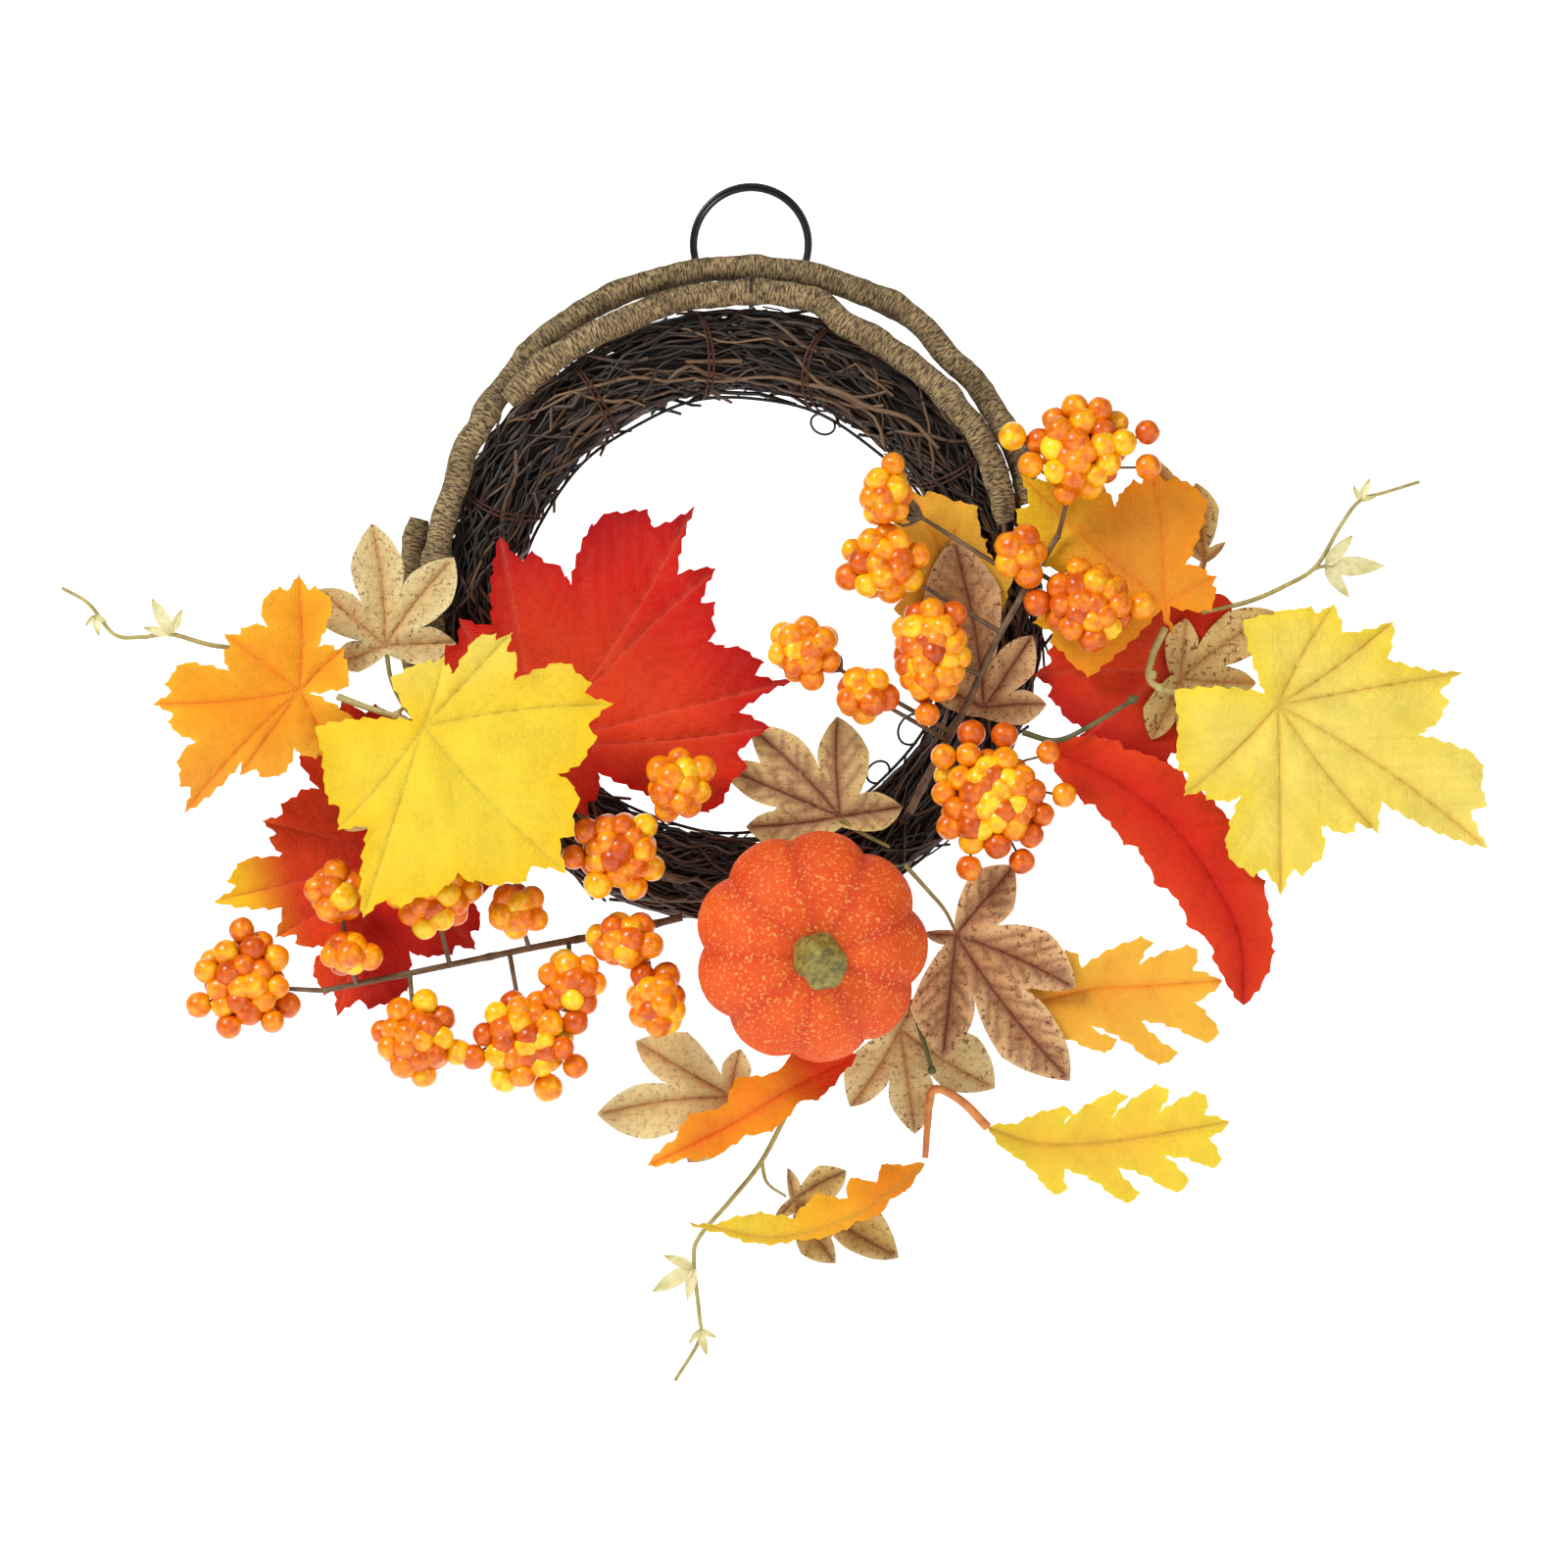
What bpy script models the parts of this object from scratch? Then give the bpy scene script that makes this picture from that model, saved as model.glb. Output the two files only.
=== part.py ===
"""Harvest door wreath: a twig ring with vines, leaves, berry sprays and a foam pumpkin, hung on a wire ring.

Lengths are in millimetres here and are scaled to metres as each object is made. The origin is the
inside top of the hanging ring, where a nail or hook holds it. +Z is up and the front faces -Y.
"""

import math
from collections import namedtuple

import bmesh
import bpy
from mathutils import Matrix, Vector
from mathutils.geometry import delaunay_2d_cdt

MM = 0.001
GAP = 0.3  # clearance between pieces that touch

# Hanging ring: two turns of wire, side by side
RING_RADIUS = 22.0  # to the middle of the wire
RING_WIRE = 1.6
RING_RISE = 3.3  # from the top of the bundle up to the ring's lowest wire
RING_OFF_CENTRE = 5  # the ring sits a little to the right of the wreath's middle
TIE_WIRE = 1.0

# Twig bundle and the frame wire inside it
BUNDLE_RADIUS = 97  # to the middle of the bundle
BUNDLE_THICKNESS = 33.4
BINDING_WIRE = 1.0
BINDING_ANGLES = (37, 69, 99, 124, 152)
FRAME_WIRE = 1.6

# Vines that run over the bundle
VINE_THICKNESS = 9.4

# Trimmings
PUMPKIN_DIAMETER = 85
PUMPKIN_DEPTH = 62
PUMPKIN_RIBS = 9
PUMPKIN_STEM = 17
PUMPKIN_STEM_WIDTH = 18
PUMPKIN_GROOVE = 0.08  # depth of the grooves as a share of the radius
BERRY = 9.6
SPRAY_STEM = 3.0
LEAF_STALK = 2.4
TENDRIL = 2.0
LEAF_CLOTH = 1.2  # the cloth, its coating and its back wire

BUNDLE_HALF = BUNDLE_THICKNESS / 2
BINDING_SHIFT = 1.2
BINDING_RADIUS = BUNDLE_HALF + BINDING_SHIFT + GAP + BINDING_WIRE / 2
FACE = BINDING_RADIUS + BINDING_WIRE / 2 + GAP  # front of the bound bundle
VINE_REACH = FACE - BINDING_SHIFT + VINE_THICKNESS / 2 + GAP + 0.6
RING_STEP_BACK = VINE_THICKNESS / 2 + 3.8  # the ring hangs this far behind the middle of the bundle
PIVOT_HEIGHT = BUNDLE_RADIUS + BUNDLE_HALF + RING_RISE
PIVOT_DROP = 2 * RING_RADIUS - RING_WIRE / 2  # from the origin down to the ring's lowest wire
WREATH_CENTRE = Vector((-RING_OFF_CENTRE, -RING_STEP_BACK, -PIVOT_DROP - PIVOT_HEIGHT))

# Places on the ring, by the angle from +X, that each group of trimmings is fixed to
LEFT = 200
LOW_LEFT = 235
LOW = 283
RIGHT = 345

# Shape of a lobe: how far its shoulders reach and how far they stand from its middle (degrees), and
# how deep the notch to the next lobe goes, all as shares of the lobe's length
Lobe = namedtuple("Lobe", "shoulder spread notch")
BROAD = Lobe(0.84, 22, 0.74)
NARROW = Lobe(0.66, 23, 0.42)

Leaf = namedtuple("Leaf", "name anchor at depth lobes lean bow colour")
Rib = namedtuple("Rib", "name anchor path depth half_up half_down lobes notch slope colour")

ORANGE = (0.83, 0.30, 0.02)
YELLOW = (0.88, 0.62, 0.06)
RED = (0.62, 0.03, 0.02)
TAN = (0.70, 0.55, 0.25)
BROWN = (0.47, 0.24, 0.10)

# Each lobe is (angle in degrees, length); depth is how far the leaf's middle stands in front of the
# bundle's face; lean is the rise per millimetre along X and Z; bow bends the tips back.
LEAVES = [
    Leaf("maple_leaf_orange_left", LEFT, (-67, 5), 24,
         [(-66, 28), (-126, 38), (-134, 62), (-175, 55), (143, 35), (91, 43), (44, 23)],
         (0.05, 0.0), 5, ORANGE),
    Leaf("maple_leaf_red_lower_left", LEFT, (-36, -57), -3,
         [(-6, 43), (-46, 46), (-109, 61), (-146, 51), (-167, 67), (163, 50), (106, 64)],
         (0.0, 0.0), 4, RED),
    Leaf("maple_leaf_yellow_left", LEFT, (-21, -8), 41,
         [(-130, 49), (-108, 73), (-46, 74), (7, 69), (47, 47), (74, 27)],
         (0.0, 0.0), 5, YELLOW),
    Leaf("maple_leaf_red_centre", LEFT, (20, -14), 12,
         [(123, 55), (101, 78), (57, 104), (45, 91), (14, 96), (4, 84), (-57, 32)],
         (0.0, 0.0), 2, RED),
    Leaf("ivy_leaf_upper_left", LEFT, (-37, 22), 7.5,
         [(-161, 20), (140, 32), (96, 45), (52, 41), (2, 26)], (0.0, 0.0), -2, TAN),
    Leaf("ivy_leaf_behind_left", LEFT, (-37, -28), 11,
         [(163, 19), (-129, 23), (-43, 25), (60, 22)], (0.0, 0.0), 0, TAN),
    Leaf("ivy_leaf_above_pumpkin", LOW, (16, 21), 3.5,
         [(-174, 35), (157, 48), (135, 47), (92, 37), (9, 23)], (0.0, 0.0), -2, BROWN),
    Leaf("ivy_leaf_beside_pumpkin", LOW, (PUMPKIN_DIAMETER / 2 + 15.5, -22), 15,
         [(176, 12), (-96, 45), (-52, 68), (-24, 48), (50, 33)], (0.0, 0.0), 3, BROWN),
    Leaf("ivy_leaf_on_tendril", LOW, (-1, -120), -5,
         [(29, 22), (-29, 44), (-57, 28), (-134, 11), (102, 12)], (0.0, 0.0), -2, TAN),
    Leaf("ivy_leaf_bottom_left", LOW, (-24, -82), -3,
         [(80, 18), (150, 41), (-173, 50), (-124, 29)], (0.0, 0.0), -3, TAN),
    Leaf("ivy_leaf_bottom_right", LOW, (38, -57), -1,
         [(-123, 34), (-82, 39), (-32, 41), (60, 14)], (0.0, 0.0), -2, TAN),
    Leaf("maple_leaf_orange_right", RIGHT, (62, 29), 12,
         [(-73, 13), (28, 22), (96, 52), (138, 71), (-172, 49)], (0.0, 0.0), 1, ORANGE),
    Leaf("maple_leaf_amber_right", RIGHT, (-18, 44), 4.5,
         [(-60, 32), (115, 30), (76, 24), (30, 18)], (0.0, 0.0), 0, ORANGE),
    Leaf("ivy_leaf_rust_right", RIGHT, (-4, -9), 8.5,
         [(3, 23), (56, 32), (100, 63), (150, 22)], (0.0, 0.0), 1, BROWN),
    Leaf("maple_leaf_red_right", RIGHT, (62, 4), 4,
         [(-141, 24), (-141, 43), (-179, 48), (133, 45), (75, 11)], (0.0, 0.0), 0, RED),
    Leaf("ivy_leaf_upper_right", RIGHT, (77, 45), 0,
         [(116, 43), (96, 29), (41, 11), (-100, 8)], (0.0, 0.0), -2, TAN),
    Leaf("ivy_leaf_speckled_right", RIGHT, (68, 2), 7,
         [(-115, 25), (-76, 31), (-4, 28), (34, 43), (84, 22)], (0.0, 0.0), -1, TAN),
    Leaf("maple_leaf_yellow_right", RIGHT, (103, -8), 21,
         [(-136, 48), (-89, 70), (-52, 60), (-34, 94), (10, 69), (36, 52), (61, 42)],
         (0.0, 0.0), 5, YELLOW),
]

# Long leaves follow a midrib; each side has its own width, notches are a share of that width, and slope
# turns the blade about the midrib.
RIB_LEAVES = [
    Rib("oak_leaf_orange", LOW, [(67, -53), (103, -43), (130, -41), (156, -39)], 8, 19, 29, 3, 0.5, 0.0, ORANGE),
    Rib("oak_leaf_yellow", LOW, [(70, -93), (88, -99), (108, -99), (125, -97), (142, -94), (159, -91)],
        2, 20, 23, 4, 0.5, 0.0, YELLOW),
    Rib("oak_leaf_curled", LOW, [(47, -106), (35, -116), (21, -125), (-8, -133), (-41, -127)],
        8, 4, 13, 4, 0.5, 0.9, YELLOW),
    Rib("oak_leaf_below_pumpkin", LOW, [(22, -66), (-1, -78), (-26, -93), (-55, -107)],
        6, 10, 14, 3, 0.6, 0.3, ORANGE),
    Rib("maple_leaf_long_red", RIGHT, [(19, -24), (41, -34), (63, -50), (79, -71), (90, -94), (91, -118)],
        10, 19, 19, 5, 0.86, 0.15, RED),
]

# A cluster is a run of groups, each (middle, size across X and Z, number of berries)
Cluster = namedtuple("Cluster", "name anchor depth groups")
CLUSTERS = [
    Cluster("berries_far_left", LOW_LEFT, 11, [((-124, -56), (49, 56), 13)]),
    Cluster("berries_left_upper", LOW_LEFT, 16, [((-90, -22), (24, 32), 5), ((-86, -44), (26, 18), 4)]),
    Cluster("berries_left_middle", LOW_LEFT, 18, [((-55, -22), (43, 37), 9), ((-24, -28), (25, 20), 4)]),
    Cluster("berries_left_lower", LOW_LEFT, 17, [((-61, -76), (38, 40), 9)]),
    Cluster("berries_low_middle", LOW_LEFT, 16, [((-21, -76), (48, 48), 11), ((-4, -57), (28, 30), 4)]),
    Cluster("berries_beside_pumpkin", LOW, 18, [((-63, -24), (36, 18), 5), ((-51, -46), (23, 40), 6)]),
    Cluster("berries_on_red_leaf", LOW_LEFT, 26, [((12, -6), (38, 40), 8), ((36, 18), (24, 28), 5)]),
    Cluster("berries_top_right", RIGHT, 28, [((30, 84), (60, 44), 13)]),
    Cluster("berries_right_upper", RIGHT, 28, [((9, 47), (20, 25), 4), ((34, 28), (48, 34), 9)]),
    Cluster("berries_centre_tall", RIGHT, 28,
            [((-40, 68), (20, 34), 5), ((-40, 43), (38, 32), 7), ((-24, 10), (32, 58), 10)]),
    Cluster("berries_centre_low", RIGHT, 30, [((-70, 12), (32, 30), 7), ((-48, -4), (23, 22), 4)]),
    Cluster("berries_right_lower", RIGHT, 28, [((-1, -42), (58, 60), 15)]),
]
CLUSTER_DEPTH = 20


def seat(anchor, at, depth):
    """A point in front of the bundle's face, measured from a place on the ring, in the wreath's frame."""
    turn = math.radians(anchor)
    return Vector((BUNDLE_RADIUS * math.cos(turn) + at[0], -FACE - depth, BUNDLE_RADIUS * math.sin(turn) + at[1]))


def clear_scene():
    for obj in list(bpy.data.objects):
        bpy.data.objects.remove(obj, do_unlink=True)


def new_collection(name):
    made = bpy.data.collections.new(name)
    bpy.context.scene.collection.children.link(made)
    return made


def material(name, colour, roughness, metallic=0.0):
    made = bpy.data.materials.new(name)
    made.use_nodes = True
    shader = made.node_tree.nodes["Principled BSDF"]
    shader.inputs["Base Color"].default_value = (*colour, 1)
    shader.inputs["Roughness"].default_value = roughness
    shader.inputs["Metallic"].default_value = metallic
    return made


def empty(name, place, parent=None):
    """An empty on a joint's axis; place is in the wreath's frame."""
    made = bpy.data.objects.new(name, None)
    made.empty_display_size = 0.02
    parts.objects.link(made)
    base = empties[parent.name] if parent else Vector()
    empties[name] = Vector(place)
    made.parent = parent
    made.location = (Vector(place) + (WREATH_CENTRE if parent is None else Vector()) - base) * MM
    return made


def finish(obj, place, parent, look):
    """Puts a finished object at its place in the wreath's frame, under its joint's empty."""
    if obj.name not in parts.objects:
        parts.objects.link(obj)
    obj.parent = parent
    obj.location = (Vector(place) - empties[parent.name]) * MM
    obj.data.materials.append(look)
    if obj.type == "MESH":
        obj.data.shade_smooth()
        obj.data.set_sharp_from_angle(angle=math.radians(40))
    return obj


def wire(name, points, thickness, parent, look, closed=False, sides=2, taper=None):
    """A bent wire or stem: a bevelled curve through the points, which are in the wreath's frame."""
    curve = bpy.data.curves.new(name, "CURVE")
    curve.dimensions = "3D"
    curve.bevel_depth = thickness / 2 * MM
    curve.bevel_resolution = sides
    curve.use_fill_caps = True
    line = curve.splines.new("POLY")
    line.points.add(len(points) - 1)
    start = Vector(points[0])
    for index, point in enumerate(points):
        line.points[index].co = (*((Vector(point) - start) * MM), 1)
        if taper:
            line.points[index].radius = taper[index]
    line.use_cyclic_u = closed
    return finish(bpy.data.objects.new(name, curve), start, parent, look)


def smooth_through(points, steps):
    """Points along a Catmull-Rom curve through the given ones."""
    points = [Vector(p) for p in points]
    ends = [2 * points[0] - points[1], *points, 2 * points[-1] - points[-2]]
    made = []
    for index in range(1, len(ends) - 2):
        a, b, c, d = ends[index - 1 : index + 3]
        for step in range(steps):
            t = step / steps
            made.append(
                0.5 * ((2 * b) + (c - a) * t + (2 * a - 5 * b + 4 * c - d) * t * t
                       + (3 * b - a - 3 * c + d) * t * t * t)
            )
    return made + [points[-1]]


def new_mesh_object(name, form):
    mesh = bpy.data.meshes.new(name)
    form.to_mesh(mesh)
    form.free()
    return bpy.data.objects.new(name, mesh)


def torus(name, radius, thickness, around, across, place, turn, parent, look):
    bpy.ops.mesh.primitive_torus_add(
        major_radius=radius * MM, minor_radius=thickness / 2 * MM, major_segments=around, minor_segments=across
    )
    obj = bpy.context.active_object
    obj.name = name
    obj.data.transform(turn)
    for home in list(obj.users_collection):
        home.objects.unlink(obj)
    return finish(obj, place, parent, look)


# Frame: hanging ring, tie, bundle, bindings and vines


def hanging_ring():
    """Two turns of wire, one in front of the other, and a little apart at the sides."""
    turn_points = 20
    count = 2 * turn_points - 1
    centre = Vector((RING_OFF_CENTRE, RING_STEP_BACK, PIVOT_HEIGHT + RING_RADIUS))
    points = []
    for index in range(count):
        angle = math.radians(90) + 2 * math.pi * index / turn_points
        depth = (RING_WIRE + GAP) * (index / (count - 1) - 0.5)
        radius = RING_RADIUS - 0.8 + 1.6 * index / (count - 1)
        points.append(centre + Vector((radius * math.cos(angle), 2 * depth, radius * math.sin(angle))))
    wire("hanging_ring", points, RING_WIRE, ring_root, black_wire)


def ring_tie():
    """A closed tie of thin wire that holds the ring's lowest wire to the inner vine."""
    ring = Vector((RING_OFF_CENTRE, RING_STEP_BACK, PIVOT_HEIGHT))
    vine = vine_point(INNER_VINE, 87)
    room = TIE_WIRE / 2 + GAP
    vine_room = VINE_THICKNESS / 2 + 0.5 + room
    ring_room = 2 * RING_WIRE + room + 0.5
    low = BUNDLE_RADIUS + BUNDLE_HALF + room
    points = [
        (ring.x, ring.y + ring_room, ring.z - 0.6),
        (ring.x, ring.y, low - 0.8),
        (ring.x, 1.0, low + 0.1),
        (ring.x, vine.y + 1.5, min(low, vine.z - vine_room)),
        (ring.x, vine.y - 0.70 * vine_room, vine.z - 0.75 * vine_room),
        (ring.x, vine.y - vine_room, vine.z),
        (ring.x, vine.y - 0.70 * vine_room, vine.z + 0.75 * vine_room),
        (ring.x, vine.y, vine.z + vine_room),
        (ring.x, vine.y + 0.74 * vine_room, vine.z + 0.70 * vine_room),
        (ring.x, ring.y - ring_room * 0.5, ring.z + 0.8 * ring_room),
        (ring.x, ring.y + ring_room * 0.7, ring.z + 0.7 * ring_room),
    ]
    wire("ring_tie", points, TIE_WIRE, swing, black_wire, closed=True, sides=1)


def twig_bundle():
    flat = Matrix.Rotation(math.radians(90), 4, "X")
    torus("twig_bundle", BUNDLE_RADIUS, BUNDLE_THICKNESS, 36, 10, (0, 0, 0), flat, swing, twig)
    radius = BUNDLE_RADIUS - BUNDLE_HALF - GAP - FRAME_WIRE / 2
    around = 40
    points = [
        (radius * math.cos(2 * math.pi * k / around), 0, radius * math.sin(2 * math.pi * k / around))
        for k in range(around)
    ]
    wire("frame_wire", points, FRAME_WIRE, swing, black_wire, closed=True, sides=1)


def bindings():
    """Rust-brown wires wound once round the bundle and its frame wire."""
    for number, angle in enumerate(BINDING_ANGLES, 1):
        turn = Matrix.Rotation(math.radians(-angle), 4, "Y")
        middle = BUNDLE_RADIUS - BINDING_SHIFT
        place = (middle * math.cos(math.radians(angle)), 0, middle * math.sin(math.radians(angle)))
        torus(f"binding_wire_{number}", BINDING_RADIUS, BINDING_WIRE, 14, 4, place, turn, swing, rust_wire)


# A vine is a list of (angle round the ring, how far its middle lies outside the bundle's edge, in vine
# thicknesses); its middle stands at least `front` before the bundle's own middle.
OUTER_VINE = [(196, -0.11), (180, -0.11), (168, -0.05), (156, 0.05), (146, 0.37), (137, 0.80),
              (122, 1.22), (105, 1.54), (90, 1.60), (75, 1.65), (60, 1.49), (48, 1.06), (38, 0.80),
              (30, 0.64), (21, 0.11)]
INNER_VINE = [(137, 0.21), (128, 0.27), (115, 0.27), (100, 0.43), (87, 0.64), (77, 0.64), (69, 0.11),
              (58, -0.16), (48, -0.16), (40, -0.32), (33, -0.43), (26, -0.69), (19, -1.01)]
SIDE_VINE = [(198, 0.64), (186, 0.74), (174, 0.90), (163, 0.96)]
VINE_FRONT = {"outer": 2.0, "inner": VINE_THICKNESS + 1.6, "side": 3.0}


def profile_at(profile, angle):
    """The vine's distance outside the bundle's edge at an angle, eased between its given points."""
    for (a, high), (b, low) in zip(profile, profile[1:]):
        if b <= angle <= a:
            t = (a - angle) / (a - b)
            return high + (low - high) * (3 * t * t - 2 * t * t * t)
    return profile[0][1] if angle > profile[0][0] else profile[-1][1]


def vine_point(profile, angle, front=None):
    """The middle of a vine at an angle: beyond the edge it may lie flat, over the bundle it stands proud."""
    if front is None:
        front = VINE_FRONT["inner"]
    outward = BUNDLE_HALF + profile_at(profile, angle) * VINE_THICKNESS
    proud = math.sqrt(max(VINE_REACH**2 - outward**2, front**2))
    turn = math.radians(angle)
    reach = BUNDLE_RADIUS + outward
    return Vector((reach * math.cos(turn), -proud, reach * math.sin(turn)))


def vines():
    for name, profile, step in (("outer", OUTER_VINE, 6), ("inner", INNER_VINE, 5), ("side", SIDE_VINE, 7)):
        first, last = profile[0][0], profile[-1][0]
        count = round((first - last) / step)
        angles = [first - (first - last) * k / count for k in range(count + 1)]
        points = [vine_point(profile, angle, VINE_FRONT[name]) for angle in angles]
        wire(f"{name}_vine", points, VINE_THICKNESS, swing, vine_bark)


# Leaves


def leaf_outline(lobes, shape):
    """A lobed leaf's edge about its vein centre: a tip and two shoulders to each lobe, a notch between."""
    outline = []
    count = len(lobes)
    step = -1 if (lobes[1][0] - lobes[0][0] + 540) % 360 - 180 < 0 else 1
    for index, (angle, length) in enumerate(lobes):
        after = lobes[(index + 1) % count]
        before = lobes[index - 1]
        gap_after = (step * (after[0] - angle)) % 360
        gap_before = (step * (angle - before[0])) % 360
        if length > 14 and gap_before > 26:
            outline.append((angle - step * min(shape.spread, 0.40 * gap_before), shape.shoulder * length))
        outline.append((angle, length))
        if length > 14 and gap_after > 26:
            outline.append((angle + step * min(shape.spread, 0.40 * gap_after), shape.shoulder * length))
        shorter = min(length, after[1])
        depth = min(max((gap_after - 8) / 40, 0.15), 1)
        notch = shape.notch * depth + 0.9 * (1 - depth)
        if gap_after > 95:
            notch = 0.16
        outline.append((angle + step * gap_after / 2, notch * shorter))
    return [
        Vector((r * math.cos(math.radians(a)), r * math.sin(math.radians(a)))) for a, r in outline
    ]


def rib_outline(path, half_up, half_down, lobes, notch):
    """The edge of a long leaf: tips and notches in turn up one side of its midrib and down the other."""
    rib = smooth_through([(x, 0, z) for x, z in path], 6)
    steps = 2 * lobes + 2

    def edge(index, side, half):
        t = index / steps
        at = min(int(t * (len(rib) - 1)), len(rib) - 2)
        along = (rib[at + 1] - rib[at]).normalized()
        across = Vector((-along.z, along.x)) * side
        width = half * (1 if index % 2 == 0 else notch) * math.sin(math.pi * (0.12 + 0.80 * t))
        return Vector((rib[at].x, rib[at].z)) + across * width

    upward = [edge(k, 1, half_up) for k in range(1, steps)]
    downward = [edge(k, -1, half_down) for k in range(steps - 1, 0, -1)]
    start = Vector((rib[0].x, rib[0].z))
    tip = Vector((rib[-1].x, rib[-1].z))
    return [start, *upward, tip, *downward]


def blade_mesh(name, outline, lift, spacing):
    """Fills an outline with triangles and bends it forward by lift(x, z)."""
    low = Vector((min(p.x for p in outline), min(p.y for p in outline)))
    high = Vector((max(p.x for p in outline), max(p.y for p in outline)))
    inner = []
    for column in range(1, int((high.x - low.x) / spacing) + 1):
        for row in range(1, int((high.y - low.y) / spacing) + 1):
            point = low + Vector((column, row)) * spacing
            if inside(point, outline, 0.3 * spacing):
                inner.append(point)
    around = list(range(len(outline)))
    points, _, faces, *_ = delaunay_2d_cdt(outline + inner, [], [around], 1, 1e-5)
    form = bmesh.new()
    corners = [form.verts.new(Vector((p.x, lift(p.x, p.y), p.y)) * MM) for p in points]
    for face in faces:
        form.faces.new([corners[k] for k in face])
    bmesh.ops.recalc_face_normals(form, faces=form.faces)
    return new_mesh_object(name, form)


def inside(point, outline, margin):
    """True for a point within the outline and not nearer its edge than the margin."""
    within = False
    for a, b in zip(outline, outline[1:] + outline[:1]):
        edge = b - a
        t = min(max((point - a).dot(edge) / edge.length_squared, 0), 1)
        if (a + edge * t - point).length < margin:
            return False
        if (a.y > point.y) != (b.y > point.y):
            within ^= point.x < a.x + (point.y - a.y) * (b.x - a.x) / (b.y - a.y)
    return within


def stiffen(obj):
    cloth = obj.modifiers.new("cloth", "SOLIDIFY")
    cloth.thickness = LEAF_CLOTH * MM
    cloth.offset = 0


def lobed_leaf(leaf, parent, looks):
    outline = leaf_outline(leaf.lobes, NARROW if leaf.name.startswith("ivy") else BROAD)

    def lift(x, z):
        return -leaf.lean[0] * x - leaf.lean[1] * z + leaf.bow * (x * x + z * z) / 3600

    obj = blade_mesh(leaf.name, outline, lift, 16)
    stiffen(obj)
    finish(obj, seat(leaf.anchor, leaf.at, leaf.depth), parent, looks[leaf.colour])


def rib_leaf(leaf, parent, looks):
    middle = Vector(leaf.path[len(leaf.path) // 2])
    path = [(x - middle.x, z - middle.y) for x, z in leaf.path]
    outline = rib_outline(path, leaf.half_up, leaf.half_down, leaf.lobes, leaf.notch)
    rib = [Vector((p.x, p.z)) for p in smooth_through([(x, 0, z) for x, z in path], 4)]

    def lift(x, z):
        near = min(range(len(rib)), key=lambda k: (rib[k] - Vector((x, z))).length)
        return leaf.slope * (z - rib[near].y)

    obj = blade_mesh(leaf.name, outline, lift, 14)
    stiffen(obj)
    finish(obj, seat(leaf.anchor, middle, leaf.depth), parent, looks[leaf.colour])


# Pumpkin


def pumpkin():
    form = bmesh.new()
    bmesh.ops.create_uvsphere(form, u_segments=4 * PUMPKIN_RIBS, v_segments=10, radius=1)
    for point in form.verts:
        turn = math.atan2(point.co.y, point.co.x)
        flat = math.hypot(point.co.x, point.co.y)
        rib = 1 - PUMPKIN_GROOVE * (1 - abs(math.cos(PUMPKIN_RIBS * turn / 2))) * flat
        dimple = pumpkin_dimple(flat)
        point.co.x *= rib * PUMPKIN_DIAMETER / 2 * MM
        point.co.y *= rib * PUMPKIN_DIAMETER / 2 * MM
        point.co.z *= dimple * PUMPKIN_DEPTH / 2 * MM
    form.transform(PUMPKIN_TURN)
    obj = new_mesh_object("pumpkin", form)
    finish(obj, pumpkin_place(), swing, material("pumpkin_foam", (0.66, 0.09, 0.02), 0.65))


def pumpkin_dimple(flat):
    """How far the top and bottom sink in, by the distance from the axis as a share of the radius."""
    return 1 - 0.30 * (1 - flat) ** 2


PUMPKIN_TURN = Matrix.Rotation(math.radians(97), 4, "X") @ Matrix.Rotation(math.radians(5), 4, "Y")


def pumpkin_place():
    """The pumpkin's back rests on the bundle; its middle hangs below and to the right of the ring's foot."""
    return seat(LOW, (5, -26), PUMPKIN_DEPTH / 2 + 2.5)


def pumpkin_stem():
    flat = PUMPKIN_STEM_WIDTH / PUMPKIN_DIAMETER
    height = pumpkin_dimple(flat) * math.sqrt(1 - flat * flat) * PUMPKIN_DEPTH / 2
    out = PUMPKIN_TURN.to_3x3() @ Vector((0, 0, 1))
    start = pumpkin_place() + out * (height + GAP)
    side = Vector((0.16, 0, -0.24))
    points = [start, start + out * 3, start + (out + side * 0.4) * 8, start + (out + side) * PUMPKIN_STEM * 0.8]
    wire("pumpkin_stem", points, PUMPKIN_STEM_WIDTH, swing, material("stem_olive", (0.22, 0.19, 0.03), 0.6),
         taper=[1.0, 0.82, 0.72, 0.68])


# Berries


def berry_places(middle, size, count):
    """Berries spread over an ellipsoid by the golden angle."""
    golden = math.pi * (3 - math.sqrt(5))
    for index in range(count):
        level = 1 - 2 * (index + 0.5) / count
        across = math.sqrt(1 - level * level)
        turn = golden * index + 0.4
        yield middle + Vector((
            (size[0] - BERRY) / 2 * across * math.cos(turn),
            (CLUSTER_DEPTH - BERRY) / 2 * across * math.sin(turn),
            (size[1] - BERRY) / 2 * level,
        ))


def ellipsoid(form, middle, size, detail):
    place = Matrix.Translation(middle * MM) @ Matrix.Diagonal((*(side / 2 * MM for side in size), 1))
    bmesh.ops.create_icosphere(form, subdivisions=detail, radius=1, matrix=place)


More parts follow.
